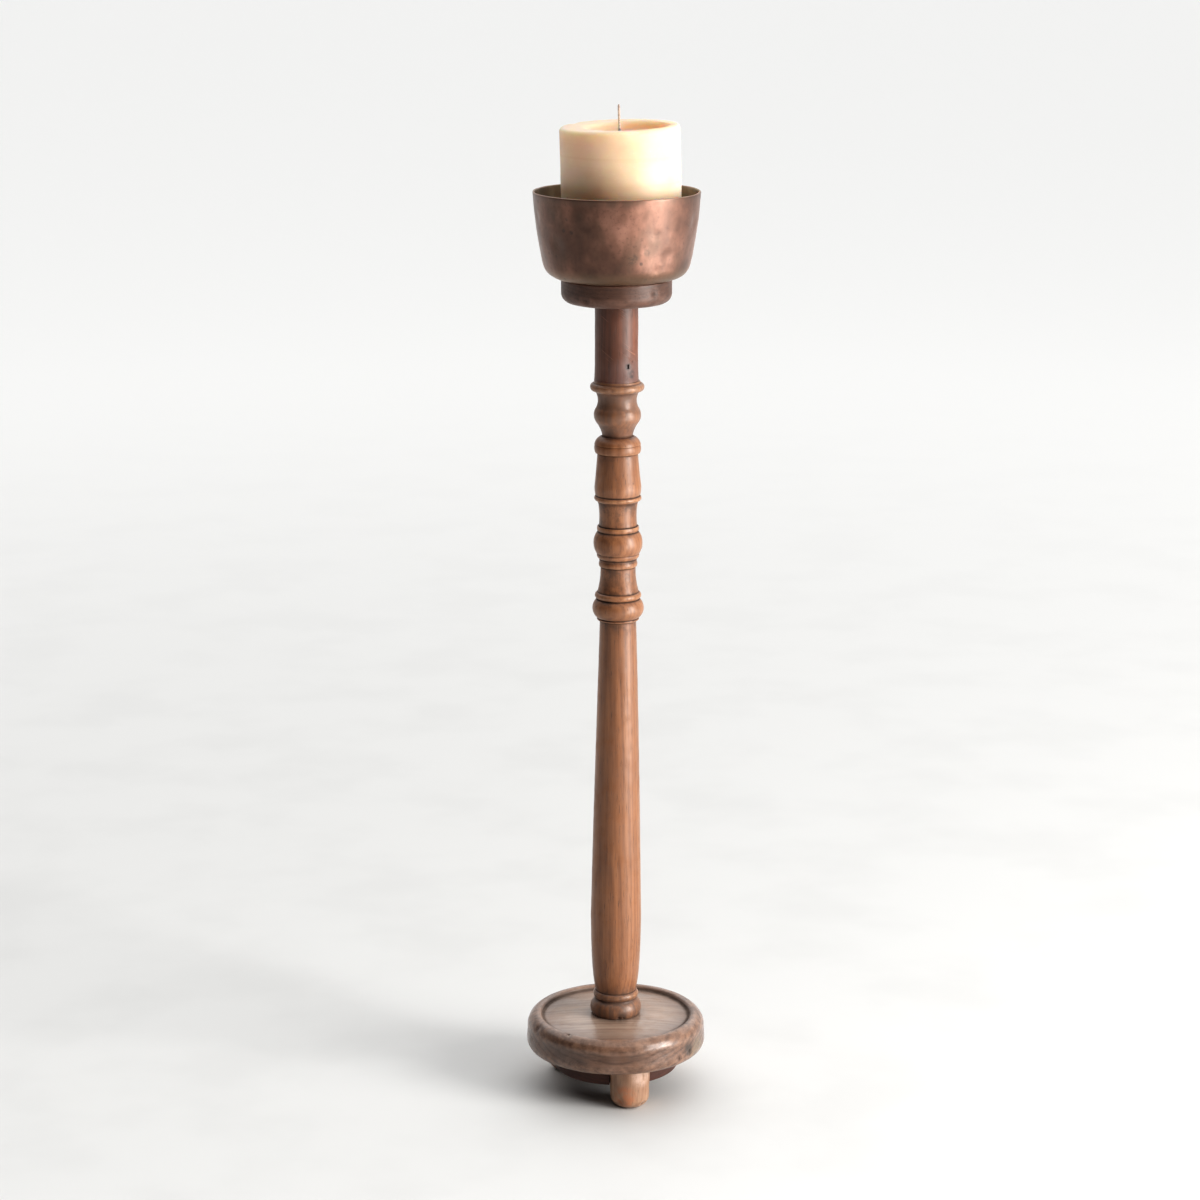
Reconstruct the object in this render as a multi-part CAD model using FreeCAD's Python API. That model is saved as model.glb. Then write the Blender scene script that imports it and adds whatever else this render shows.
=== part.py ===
"""Wooden candlestick: a turned spindle on a round base with three peg feet,
and a copper bowl on top that holds a pillar candle.

Millimetres. +Z is up, the spindle's axis is the Z axis, and Z = 0 is the table.
-Y is the front. One STEP file is written for each piece.
"""

import FreeCAD, Part

import math
import os

# ---------------------------------------------------------------- fits
GLUE_GAP = 0.10           # radial room of a glued tenon in its bore
SCREW_GAP = 0.05          # radial room of a wood screw in its pilot hole
REST_GAP = 0.30           # room under and beside a loose piece
END_ROOM = 1.0            # empty length past the end of a blind tenon

# ---------------------------------------------------------------- feet
FOOT_DIAMETER = 27.0
FOOT_TAPER = 0.5          # how much the radius shrinks towards the table
FOOT_ROUNDING = 5.5       # rounding of the bottom edge
FOOT_HEIGHT = 26.4        # table to the underside of the base
FOOT_TENON_DIAMETER = 14.0
FOOT_TENON_LENGTH = 10.0
FOOT_INSET = 5.0          # from the base's edge to the outside of a foot
FRONT_FOOT_TURN = 13.0    # degrees from the front (-Y) towards +X
REAR_FOOT_TURN = 140.0    # degrees from the front foot to each rear foot

# ---------------------------------------------------------------- base disc
BASE_DIAMETER = 118.0
BASE_THICKNESS = 24.0
BASE_UNDER_BULGE = 0.7    # how far the lower edge swells past the waist
BASE_UNDER_ROUNDING = 6.0
BASE_CROWN_WIDTH = 9.4    # of the raised rim, from its outside to the recess
BASE_CROWN_DROP = 10.0    # height of the rim's rounded shoulder
RECESS_DEPTH = 3.0        # from the rim's crown to the edge of the recess
RECESS_WALL_LEAN = 0.4    # the recess wall leans in by this much
SEAT_RISE = 2.5           # the recess swells up to the spindle by this much
SEAT_DIAMETER = 35.0

# ---------------------------------------------------------------- hub
HUB_DIAMETER = 83.0
HUB_THICKNESS = 12.7
HUB_EDGE_ROUNDING = 1.5
HUB_SCREW_CIRCLE = 27.5   # radius on which the three hub screws stand
HUB_SCREW_DIAMETER = 3.5
HUB_SCREW_LENGTH = 24.0

# ---------------------------------------------------------------- spindle
STEM_TENON_DIAMETER = 18.0
STEM_SCREW_DIAMETER = 5.0
STEM_SCREW_LENGTH = 45.0
STEM_SCREW_HEAD_HEIGHT = 3.0
STEM_WASHER_DIAMETER = 21.0
STEM_WASHER_THICKNESS = 1.5
COUNTERBORE_DEPTH = 5.5   # in the hub, for the washer and the screw head
SHAFT_FOOT_HEIGHT = 16.3
SHAFT_BELLY_HEIGHT = 37.5
SHAFT_TAPER_HEIGHT = 199.0
NECK_TENON_DIAMETER = 16.0

SPINDLE_FOOT_RADIUS = 15.8
# The turned outline from the seat up: name, height, radius half way up
# (None for a straight run), radius at the top. A height of 0 is a shoulder.
SPINDLE_TURNINGS = [
    ("foot torus", 10.1, 16.95, 14.1),
    ("foot quirk", 1.0, None, 13.6),
    ("foot ring", 5.0, 15.1, 13.8),
    ("foot quirk", 0.2, None, 13.5),
    ("shaft foot", SHAFT_FOOT_HEIGHT, 14.85, 15.65),
    ("shaft belly", SHAFT_BELLY_HEIGHT, 16.5, 16.75),
    ("shaft taper", SHAFT_TAPER_HEIGHT, 14.65, 11.9),
    ("shaft top", 1.6, None, 11.9),
    ("low ring shoulder", 0.0, None, 13.3),
    ("low ring", 1.5, 13.8, 13.5),
    ("low bead", 12.2, 16.75, 14.3),
    ("low quirk", 0.6, None, 13.9),
    ("low collar", 4.4, 15.15, 13.5),
    ("low flare", 17.0, 11.8, 11.5),
    ("middle ring shoulder", 0.0, None, 12.2),
    ("middle ring", 3.2, 12.6, 12.2),
    ("middle quirk", 1.8, None, 12.2),
    ("middle collar", 3.4, 13.7, 13.8),
    ("middle bead", 13.4, 15.95, 14.2),
    ("middle quirk", 1.4, None, 13.2),
    ("upper ring", 3.4, 13.7, 13.3),
    ("upper ring shoulder", 0.0, None, 12.5),
    ("upper waist", 14.4, 12.15, 12.7),
    ("upper cove", 2.6, 13.1, 14.7),
    ("upper collar", 3.0, 15.35, 14.4),
    ("barrel foot", 5.9, 15.0, 15.15),
    ("barrel", 22.1, 14.0, 13.15),
    ("cap shoulder", 0.0, None, 14.5),
    ("cap band", 4.8, 15.1, 14.9),
    ("cap line", 0.6, None, 14.5),
    ("cap lip", 0.0, None, 15.0),
    ("cap dome", 5.6, 13.9, 9.8),
    ("vase neck", 8.0, 10.9, 13.1),
    ("vase belly", 10.4, 15.2, 13.6),
    ("vase waist", 8.2, 12.55, 13.1),
    ("vase cove", 2.4, 13.6, 15.2),
    ("astragal", 5.4, 17.5, 15.2),
    ("land", 1.4, None, 14.6),
]

# ---------------------------------------------------------------- neck sleeve
NECK_HEIGHT = 50.0
NECK_FOOT_RADIUS = 14.5
NECK_RADIUS = 13.95
NECK_FLARE_HEIGHT = 9.0
NECK_SOLID = 21.0         # wood left between the bore's end and the cup block
BRAD_WIDTH = 1.3
BRAD_HEIGHT = 2.8
BRAD_LENGTH = 10.0
BRAD_RISE = 10.6          # above the neck's foot
BRAD_TURN = 33.0          # degrees from the front (-Y) towards +X
BRAD_SUNK = 0.3           # how deep its head is driven below the wood

# ---------------------------------------------------------------- cup block
BLOCK_OVERHANG = 0.4      # how far the block stands out past the bowl's flat floor
BLOCK_HEIGHT = 15.6
BLOCK_UNDER_ROUNDING = 6.5
BLOCK_TOP_ROUNDING = 1.0

# ---------------------------------------------------------------- copper bowl
BOWL_FLARE = 18.0           # how far the rim stands out past the flat floor
BOWL_HEIGHT = 55.0
BOWL_FLOOR_SHORT = 3.1      # the flat floor's radius is this much under the candle's
BOWL_CORNER = 12.0          # outside radius of the corner
BOWL_SWELL = 0.9            # how far the wall bows out half way up
BOWL_WALL = 1.4
BOWL_SCREW_DIAMETER = 4.0
BOWL_SCREW_LENGTH = 32.0
BOWL_SCREW_HEAD_DIAMETER = 8.4

# ---------------------------------------------------------------- candle
CANDLE_DIAMETER = 76.2
CANDLE_HEIGHT = 93.0
CANDLE_BEVEL = 2.0        # bevel round the bottom edge
CANDLE_LEAN = 2.0         # degrees, because its foot was set unevenly in soft wax
CANDLE_LEAN_FROM = 31.0   # the raised side of its foot, in degrees from +X
CANDLE_LIP = 2.2          # rounding of the top edge
MELT_DIAMETER = 52.0      # of the melted hollow in the top
MELT_DEPTH = 8.0
MELT_SHIFT = 6.0          # of the hollow's middle from the wick, towards +X
WICK_DIAMETER = 1.5
WICK_ABOVE = 13.0         # how far the wick stands above the candle's top


# ================================================================ places
BASE_BOTTOM = FOOT_HEIGHT
BASE_TOP = BASE_BOTTOM + BASE_THICKNESS
RECESS_EDGE = BASE_TOP - RECESS_DEPTH
SEAT = RECESS_EDGE + SEAT_RISE
HUB_BOTTOM = BASE_BOTTOM - HUB_THICKNESS
COUNTERBORE_ROOF = HUB_BOTTOM + COUNTERBORE_DEPTH
STEM_TENON_END = COUNTERBORE_ROOF + END_ROOM
SPINDLE_TOP = SEAT + sum(height for _, height, _, _ in SPINDLE_TURNINGS)
NECK_TOP = SPINDLE_TOP + NECK_HEIGHT
NECK_TENON_LENGTH = NECK_HEIGHT - NECK_SOLID - END_ROOM
BLOCK_TOP = NECK_TOP + BLOCK_HEIGHT
CANDLE_RADIUS = CANDLE_DIAMETER / 2
BOWL_FLOOR_RADIUS = CANDLE_RADIUS - BOWL_FLOOR_SHORT
BOWL_RIM_RADIUS = BOWL_FLOOR_RADIUS + BOWL_FLARE
BOWL_FLOOR = BLOCK_TOP + BOWL_WALL
BOWL_RIM = BLOCK_TOP + BOWL_HEIGHT

FOOT_RADIUS = FOOT_DIAMETER / 2
FOOT_CIRCLE = BASE_DIAMETER / 2 - FOOT_INSET - FOOT_RADIUS
FRONT_FOOT_ANGLE = -90 + FRONT_FOOT_TURN
FOOT_ANGLES = {
    "foot_front": FRONT_FOOT_ANGLE,
    "foot_rear_right": FRONT_FOOT_ANGLE + REAR_FOOT_TURN,
    "foot_rear_left": FRONT_FOOT_ANGLE - REAR_FOOT_TURN,
}
HUB_SCREW_ANGLES = [
    FRONT_FOOT_ANGLE + REAR_FOOT_TURN / 2,
    FRONT_FOOT_ANGLE + 180,
    FRONT_FOOT_ANGLE - REAR_FOOT_TURN / 2,
]


# ================================================================ helpers
UP = FreeCAD.Vector(0, 0, 1)
ORIGIN = FreeCAD.Vector(0, 0, 0)


def at(radius, z, angle=0.0):
    """A point at that radius and height, turned by angle degrees round Z from +X."""
    turn = math.radians(angle)
    return FreeCAD.Vector(radius * math.cos(turn), radius * math.sin(turn), z)


def turned(start, steps):
    """A solid of revolution round Z. A step (r, z) is a straight run to that point,
    and a step (mid_r, mid_z, r, z) is an arc through the middle point."""
    edges = []
    here = start
    for step in steps:
        there = step[-2:]
        if len(step) == 4:
            edges.append(Part.Arc(at(*here), at(*step[:2]), at(*there)).toShape())
        else:
            edges.append(Part.LineSegment(at(*here), at(*there)).toShape())
        here = there
    if here != start:
        edges.append(Part.LineSegment(at(*here), at(*start)).toShape())
    return Part.Face(Part.Wire(edges)).revolve(ORIGIN, UP, 360)


def corner(mid_r, mid_z, radius, from_angle, to_angle):
    """The step of a round corner about (mid_r, mid_z), from one angle to the other
    in degrees, where 0 points outwards and 90 points up."""
    half = math.radians((from_angle + to_angle) / 2)
    end = math.radians(to_angle)
    return (mid_r + radius * math.cos(half), mid_z + radius * math.sin(half),
            mid_r + radius * math.cos(end), mid_z + radius * math.sin(end))


def rod(radius, low, high, centre=ORIGIN):
    """A plain cylinder along Z from low to high."""
    foot = FreeCAD.Vector(centre.x, centre.y, low)
    return Part.makeCylinder(radius, high - low, foot, UP)


def wood_screw(radius, head_radius, length, slot_width, slot_depth):
    """A countersunk wood screw with its flat head's top at Z = 0 and its point down."""
    head_depth = head_radius - radius
    point_length = 2.5 * radius
    body = turned((0, 0), [
        (head_radius, 0),
        (radius, -head_depth),
        (radius, -length + point_length),
        (0, -length),
    ])
    slot = Part.makeBox(2 * head_radius + 1, slot_width, slot_depth,
                        FreeCAD.Vector(-head_radius - 0.5, -slot_width / 2, -slot_depth))
    return body.cut(slot)


def screw_hole(radius, head_radius, length):
    """The room that such a screw needs, with its gap all round."""
    wide, shank = head_radius + SCREW_GAP, radius + SCREW_GAP
    return turned((0, SCREW_GAP), [
        (wide, SCREW_GAP),
        (wide, 0),
        (shank, shank - wide),
        (shank, -length - SCREW_GAP),
        (0, -length - SCREW_GAP),
    ])


def placed(shape, where, flip=False):
    """A copy moved to a point, turned upside down first if flip is set."""
    made = shape.copy()
    if flip:
        made.rotate(ORIGIN, FreeCAD.Vector(1, 0, 0), 180)
    made.translate(where)
    return made


# ================================================================ feet
def foot(angle):
    """A peg foot with a rounded end below and a tenon above."""
    low_radius = FOOT_RADIUS - FOOT_TAPER
    tenon = FOOT_TENON_DIAMETER / 2
    rounding = min(FOOT_ROUNDING, low_radius / 2)
    shape = turned((0, 0), [
        (low_radius - rounding, 0),
        corner(low_radius - rounding, rounding, rounding, -90, 0),
        (FOOT_RADIUS, FOOT_HEIGHT),
        (tenon, FOOT_HEIGHT),
        (tenon, FOOT_HEIGHT + FOOT_TENON_LENGTH),
        (0, FOOT_HEIGHT + FOOT_TENON_LENGTH),
    ])
    return placed(shape, at(FOOT_CIRCLE, 0, angle))


# ================================================================ base disc
def base_disc():
    """The disc: rounded rim, shallow recess that swells to a seat, sockets below."""
    outside = BASE_DIAMETER / 2
    bulge = outside + BASE_UNDER_BULGE
    rounding = BASE_UNDER_ROUNDING
    shoulder = BASE_TOP - BASE_CROWN_DROP
    crown = outside - BASE_CROWN_WIDTH * 0.64
    recess = outside - BASE_CROWN_WIDTH
    lip_drop = RECESS_DEPTH * 0.3
    seat = SEAT_DIAMETER / 2
    shape = turned((0, BASE_BOTTOM), [
        (bulge - rounding, BASE_BOTTOM),
        corner(bulge - rounding, BASE_BOTTOM + rounding, rounding, -90, 0),
        (outside, shoulder),
        (outside - (outside - crown) * 0.29, BASE_TOP - BASE_CROWN_DROP * 0.29,
         crown, BASE_TOP),
        (recess + (crown - recess) * 0.3, BASE_TOP - lip_drop * 0.3,
         recess, BASE_TOP - lip_drop),
        (recess - RECESS_WALL_LEAN, RECESS_EDGE),
        ((recess + seat) / 2, RECESS_EDGE + SEAT_RISE * 0.62, seat, SEAT),
        (0, SEAT),
    ])
    shape = shape.cut(rod(STEM_TENON_DIAMETER / 2 + GLUE_GAP, BASE_BOTTOM - 1, SEAT + 1))
    socket_top = BASE_BOTTOM + FOOT_TENON_LENGTH + END_ROOM
    for angle in FOOT_ANGLES.values():
        centre = at(FOOT_CIRCLE, 0, angle)
        shape = shape.cut(rod(FOOT_TENON_DIAMETER / 2 + GLUE_GAP,
                              BASE_BOTTOM - 1, socket_top, centre))
    for hole in hub_screw_holes():
        shape = shape.cut(hole)
    return shape


# ================================================================ hub
def hub_screw_points():
    """Where the heads of the three hub screws are, on the hub's underside."""
    return [at(HUB_SCREW_CIRCLE, HUB_BOTTOM, angle) for angle in HUB_SCREW_ANGLES]


def hub_screw_holes():
    hole = screw_hole(HUB_SCREW_DIAMETER / 2, HUB_SCREW_DIAMETER, HUB_SCREW_LENGTH)
    return [placed(hole, where, flip=True) for where in hub_screw_points()]


def base_hub():
    """The smaller disc under the base, cut away round the feet."""
    outside = HUB_DIAMETER / 2
    rounding = HUB_EDGE_ROUNDING
    shape = turned((0, HUB_BOTTOM), [
        (outside - rounding, HUB_BOTTOM),
        corner(outside - rounding, HUB_BOTTOM + rounding, rounding, -90, 0),
        (outside, BASE_BOTTOM),
        (0, BASE_BOTTOM),
    ])
    shape = shape.cut(rod(STEM_TENON_DIAMETER / 2 + GLUE_GAP, HUB_BOTTOM - 1, BASE_BOTTOM + 1))
    shape = shape.cut(rod(STEM_WASHER_DIAMETER / 2 + REST_GAP, HUB_BOTTOM - 1, COUNTERBORE_ROOF))
    for angle in FOOT_ANGLES.values():
        bite = rod(FOOT_RADIUS + GLUE_GAP, HUB_BOTTOM - 1, BASE_BOTTOM + 1,
                   at(FOOT_CIRCLE, 0, angle))
        shape = shape.cut(bite)
    for hole in hub_screw_holes():
        shape = shape.cut(hole)
    return shape


def hub_screws():
    screw = wood_screw(HUB_SCREW_DIAMETER / 2, HUB_SCREW_DIAMETER, HUB_SCREW_LENGTH, 0.9, 1.0)
    return Part.makeCompound([placed(screw, where, flip=True) for where in hub_screw_points()])


# ================================================================ stem fixing
WASHER_BOTTOM = COUNTERBORE_ROOF - STEM_WASHER_THICKNESS


def stem_washer():
    ring = rod(STEM_WASHER_DIAMETER / 2, WASHER_BOTTOM, COUNTERBORE_ROOF)
    return ring.cut(rod(STEM_SCREW_DIAMETER / 2 + REST_GAP, WASHER_BOTTOM - 1, COUNTERBORE_ROOF + 1))


def stem_screw():
    """A round-headed wood screw that pulls the spindle's tenon down into the base."""
    radius = STEM_SCREW_DIAMETER / 2
    head_radius = STEM_SCREW_DIAMETER * 0.95
    head_height = STEM_SCREW_HEAD_HEIGHT
    tip = WASHER_BOTTOM + STEM_SCREW_LENGTH
    shape = turned((0, WASHER_BOTTOM - head_height), [
        (head_radius * 0.75, WASHER_BOTTOM - head_height * 0.66, head_radius, WASHER_BOTTOM),
        (radius, WASHER_BOTTOM),
        (radius, tip - 2.5 * radius),
        (0, tip),
    ])
    slot_depth = head_height * 0.5
    slot = Part.makeBox(2 * head_radius, 1.2, slot_depth,
                        FreeCAD.Vector(-head_radius, -0.6, WASHER_BOTTOM - head_height))
    return shape.cut(slot)


# ================================================================ spindle
def brad_room(gap):
    """The flat brad's own shape, or with a gap the slot that it is driven into."""
    surface = NECK_RADIUS - BRAD_SUNK
    depth = BRAD_LENGTH + gap
    mouth = 2.0 if gap else 0.0
    bar = Part.makeBox(depth + mouth, BRAD_WIDTH + 2 * gap, BRAD_HEIGHT + 2 * gap,
                       FreeCAD.Vector(surface - depth, -BRAD_WIDTH / 2 - gap,
                                      SPINDLE_TOP + BRAD_RISE - BRAD_HEIGHT / 2 - gap))
    bar.rotate(ORIGIN, UP, -90 + BRAD_TURN)
    return bar


def spindle():
    """The turned stem, with a tenon at each end."""
    low_tenon = STEM_TENON_DIAMETER / 2
    top_tenon = NECK_TENON_DIAMETER / 2
    steps = [(low_tenon, STEM_TENON_END), (low_tenon, SEAT), (SPINDLE_FOOT_RADIUS, SEAT)]
    z = SEAT
    for _, height, middle, top in SPINDLE_TURNINGS:
        if middle is None:
            steps.append((top, z + height))
        else:
            steps.append((middle, z + height / 2, top, z + height))
        z += height
    steps += [(top_tenon, z), (top_tenon, z + NECK_TENON_LENGTH), (0, z + NECK_TENON_LENGTH)]
    shape = turned((0, STEM_TENON_END), steps)
    pilot_top = WASHER_BOTTOM + STEM_SCREW_LENGTH + SCREW_GAP
    shape = shape.cut(rod(STEM_SCREW_DIAMETER / 2 + SCREW_GAP, STEM_TENON_END - 1, pilot_top))
    return shape.cut(brad_room(SCREW_GAP))


# ================================================================ neck sleeve
def neck_sleeve():
    """The plain cylinder above the turnings: bored below, with a tenon above."""
    bore = NECK_TENON_DIAMETER / 2 + GLUE_GAP
    tenon = NECK_TENON_DIAMETER / 2
    bore_top = SPINDLE_TOP + NECK_TENON_LENGTH + END_ROOM
    flare = NECK_FOOT_RADIUS - NECK_RADIUS
    shape = turned((bore, SPINDLE_TOP), [
        (NECK_FOOT_RADIUS, SPINDLE_TOP),
        (NECK_RADIUS + flare * 0.3, SPINDLE_TOP + NECK_FLARE_HEIGHT / 2,
         NECK_RADIUS, SPINDLE_TOP + NECK_FLARE_HEIGHT),
        (NECK_RADIUS, NECK_TOP),
        (tenon, NECK_TOP),
        (tenon, BLOCK_TOP),
        (0, BLOCK_TOP),
        (0, bore_top),
        (bore, bore_top),
    ])
    shape = shape.cut(dimple_room())
    pilot = rod(BOWL_SCREW_DIAMETER / 2 + SCREW_GAP,
                BOWL_FLOOR - BOWL_SCREW_LENGTH - SCREW_GAP, BLOCK_TOP + 1)
    return shape.cut(pilot).cut(brad_room(SCREW_GAP))


def neck_brad():
    return brad_room(0)


# ================================================================ cup block
def cup_block():
    """The wooden block under the bowl, bored for the neck's tenon."""
    outside = BOWL_FLOOR_RADIUS + BLOCK_OVERHANG
    under = BLOCK_UNDER_ROUNDING
    over = BLOCK_TOP_ROUNDING
    shape = turned((0, NECK_TOP), [
        (outside - under, NECK_TOP),
        corner(outside - under, NECK_TOP + under, under, -90, 0),
        (outside, BLOCK_TOP - over),
        corner(outside - over, BLOCK_TOP - over, over, 0, 90),
        (0, BLOCK_TOP),
    ])
    shape = shape.cut(rod(NECK_TENON_DIAMETER / 2 + GLUE_GAP, NECK_TOP - 1, BLOCK_TOP + 1))
    return shape.cut(dimple_room())


# ================================================================ copper bowl
def dimple(wall):
    """Points of the dimple that the screw's flat head lies in, for a sheet of that
    thickness: its wide end on the floor, its wide and narrow ends underneath."""
    wide = BOWL_SCREW_HEAD_DIAMETER / 2 + SCREW_GAP
    narrow = BOWL_SCREW_DIAMETER / 2 + SCREW_GAP
    low = BOWL_FLOOR - (wide - narrow)
    spread = wall * math.tan(math.radians(67.5))
    return (narrow, low), (narrow + wall * 0.5, low - wall), (wide + spread, BOWL_FLOOR - wall)


def dimple_room():
    """The hollow that the dimple needs in the wood below it."""
    _, bottom, rim = dimple(BOWL_WALL + SCREW_GAP)
    return turned((0, bottom[1]), [bottom, rim, (rim[0], BLOCK_TOP + 1), (0, BLOCK_TOP + 1)])


def bowl_corner_centre():
    return BOWL_FLOOR_RADIUS, BLOCK_TOP + BOWL_CORNER


def bowl_wall_lean():
    """Lean of the wall where it leaves the rounded corner, in radians."""
    mid_r, mid_z = bowl_corner_centre()
    spread = BOWL_RIM_RADIUS - mid_r - BOWL_CORNER
    return math.atan2(spread + 4 * BOWL_SWELL, BOWL_RIM - mid_z)


def bowl_wall_point(share, inset):
    """A point of the bowl's wall: share 0 is where the corner ends and 1 is the rim.
    The inset moves it in from the outside surface."""
    mid_r, mid_z = bowl_corner_centre()
    lean = bowl_wall_lean()
    low_r = mid_r + BOWL_CORNER * math.cos(lean)
    low_z = mid_z - BOWL_CORNER * math.sin(lean)
    radius = low_r + (BOWL_RIM_RADIUS - low_r) * share + BOWL_SWELL * 4 * share * (1 - share)
    z = low_z + (BOWL_RIM - low_z) * share
    return radius - inset * math.cos(lean), z + inset * math.sin(lean) * (1 - share)


def copper_bowl():
    """A raised copper bowl of even thickness, with a dimple for its screw."""
    mid_r, mid_z = bowl_corner_centre()
    lean = math.degrees(bowl_wall_lean())
    inner = BOWL_CORNER - BOWL_WALL
    hole, under_hole, under_head = dimple(BOWL_WALL)
    return turned(hole, [
        under_hole,
        under_head,
        (mid_r, BLOCK_TOP),
        corner(mid_r, mid_z, BOWL_CORNER, -90, -lean),
        (*bowl_wall_point(0.5, 0), *bowl_wall_point(1, 0)),
        bowl_wall_point(1, BOWL_WALL),
        (*bowl_wall_point(0.5, BOWL_WALL),
         mid_r + inner * math.cos(math.radians(lean)),
         mid_z - inner * math.sin(math.radians(lean))),
        corner(mid_r, mid_z, inner, -lean, -90),
        (BOWL_SCREW_HEAD_DIAMETER / 2 + SCREW_GAP, BOWL_FLOOR),
    ])


def bowl_screw():
    screw = wood_screw(BOWL_SCREW_DIAMETER / 2, BOWL_SCREW_HEAD_DIAMETER / 2,
                       BOWL_SCREW_LENGTH, 1.0, 1.1)
    return placed(screw, at(0, BOWL_FLOOR))


# ================================================================ candle
def candle_push():
    """How far the candle stands off the middle. It was pushed to the raised side of
    its foot, until its side came near the bowl's rounded corner."""
    rise = 2 * (CANDLE_RADIUS - CANDLE_BEVEL) * math.tan(math.radians(CANDLE_LEAN))
    height = REST_GAP + rise + CANDLE_BEVEL
    inner = BOWL_CORNER - BOWL_WALL
    reach = math.sqrt(inner ** 2 - max(0.0, inner - height) ** 2)
    return max(0.0, BOWL_FLOOR_RADIUS + reach - 2 * REST_GAP - CANDLE_RADIUS)


def seated(shape):
    """Moves a piece of the candle, made upright on Z = 0, to its place in the bowl."""
    foot_radius = CANDLE_RADIUS - CANDLE_BEVEL
    made = shape.copy()
    made.rotate(FreeCAD.Vector(-foot_radius, 0, 0), FreeCAD.Vector(0, 1, 0), -CANDLE_LEAN)
    made.translate(FreeCAD.Vector(candle_push(), 0, BOWL_FLOOR + REST_GAP))
    made.rotate(ORIGIN, UP, CANDLE_LEAN_FROM)
    return made


def candle_wax():
    """A pillar candle with a hollow melted into its top and a bore for the wick."""
    radius = CANDLE_RADIUS
    shape = turned((0, 0), [
        (radius - CANDLE_BEVEL, 0),
        (radius, CANDLE_BEVEL),
        (radius, CANDLE_HEIGHT - CANDLE_LIP),
        corner(radius - CANDLE_LIP, CANDLE_HEIGHT - CANDLE_LIP, CANDLE_LIP, 0, 90),
        (0, CANDLE_HEIGHT),
    ])
    melt = MELT_DIAMETER / 2
    ball = (melt ** 2 + MELT_DEPTH ** 2) / (2 * MELT_DEPTH)
    centre = FreeCAD.Vector(MELT_SHIFT, 0, CANDLE_HEIGHT - MELT_DEPTH + ball)
    shape = shape.cut(Part.makeSphere(ball, centre))
    shape = shape.cut(rod(WICK_DIAMETER / 2 + SCREW_GAP, -1, CANDLE_HEIGHT + 1))
    return seated(shape)


def candle_wick():
    return seated(rod(WICK_DIAMETER / 2, 0, CANDLE_HEIGHT + WICK_ABOVE))


# ================================================================ write
PIECES = {
    "base_disc": base_disc,
    "base_hub": base_hub,
    "hub_screws": hub_screws,
    "stem_washer": stem_washer,
    "stem_screw": stem_screw,
    "spindle": spindle,
    "neck_sleeve": neck_sleeve,
    "neck_brad": neck_brad,
    "cup_block": cup_block,
    "copper_bowl": copper_bowl,
    "bowl_screw": bowl_screw,
    "candle_wax": candle_wax,
    "candle_wick": candle_wick,
}

os.makedirs("parts", exist_ok=True)
shapes = {name: make() for name, make in PIECES.items()}
shapes.update({name: foot(angle) for name, angle in FOOT_ANGLES.items()})
for name, shape in shapes.items():
    shape.exportStep(f"parts/{name}.step")
    box = shape.BoundBox
    print(f"{name}: {len(shape.Solids)} solid, {shape.Volume / 1000:.2f} cm3, "
          f"valid {shape.isValid()}, z {box.ZMin:.1f} to {box.ZMax:.1f}")
print(f"candle: stands {candle_push():.2f} off the middle, leans {CANDLE_LEAN} degrees")
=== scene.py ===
# %% [markdown]
# # A turned candlestick with a copper bowl
# This lesson dresses a fixed CAD model. The CAD file says where every piece is and how the
# candle moves, and Blender is used for what the eye meets: turned wood with its wear, old
# copper, candle wax and a wick. Everything is in metres, and +Z is up.

# %% Load the fixed frame
import math

import bpy
import numpy as np
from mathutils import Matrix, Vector


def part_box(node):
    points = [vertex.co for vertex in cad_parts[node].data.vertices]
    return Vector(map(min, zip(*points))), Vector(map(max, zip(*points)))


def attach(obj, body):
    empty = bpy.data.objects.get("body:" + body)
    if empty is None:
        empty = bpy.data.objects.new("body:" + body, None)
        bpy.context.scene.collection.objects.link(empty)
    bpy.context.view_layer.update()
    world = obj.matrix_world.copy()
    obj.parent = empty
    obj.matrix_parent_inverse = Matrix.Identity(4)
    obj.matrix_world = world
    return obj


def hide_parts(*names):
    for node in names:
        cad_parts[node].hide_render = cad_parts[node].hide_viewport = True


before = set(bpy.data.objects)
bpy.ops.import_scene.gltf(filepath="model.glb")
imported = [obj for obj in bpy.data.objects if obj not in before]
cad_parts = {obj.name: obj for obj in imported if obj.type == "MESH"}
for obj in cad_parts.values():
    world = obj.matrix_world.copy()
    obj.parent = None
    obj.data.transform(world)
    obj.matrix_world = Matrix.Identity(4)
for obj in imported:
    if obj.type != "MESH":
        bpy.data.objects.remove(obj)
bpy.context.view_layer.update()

MM = 0.001


# %% [markdown]
# ## The maker's helpers
# Blender's tools work on whatever is selected, so a stray selection spoils the next step.
# These helpers select one piece and nothing else, open it for editing, and settle its place
# and its modifiers into the mesh. Every later step goes through them.

# %% Selecting and settling
def deselect():
    """Leaves edit mode and clears the selection."""
    if bpy.context.mode != "OBJECT":
        bpy.ops.object.mode_set(mode="OBJECT")
    bpy.ops.object.select_all(action="DESELECT")


def take(piece):
    """Makes one piece the only selected and active one."""
    deselect()
    piece.select_set(True)
    bpy.context.view_layer.objects.active = piece


def edit(piece):
    """Opens one piece in edit mode."""
    take(piece)
    bpy.ops.object.mode_set(mode="EDIT")


def settle(piece):
    """Puts the piece's place into its mesh, so that its object sits at the origin."""
    take(piece)
    bpy.ops.object.transform_apply(location=True, rotation=True, scale=True)
    return piece


def apply_all(piece):
    """Applies all of the piece's modifiers, in order."""
    take(piece)
    for modifier in list(piece.modifiers):
        bpy.ops.object.modifier_apply(modifier=modifier.name)
    return piece


def smooth(piece, angle=35):
    """Shades the piece smooth, but keeps edges that are sharper than the angle."""
    take(piece)
    bpy.ops.object.shade_smooth_by_angle(angle=math.radians(angle))
    return piece


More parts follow.
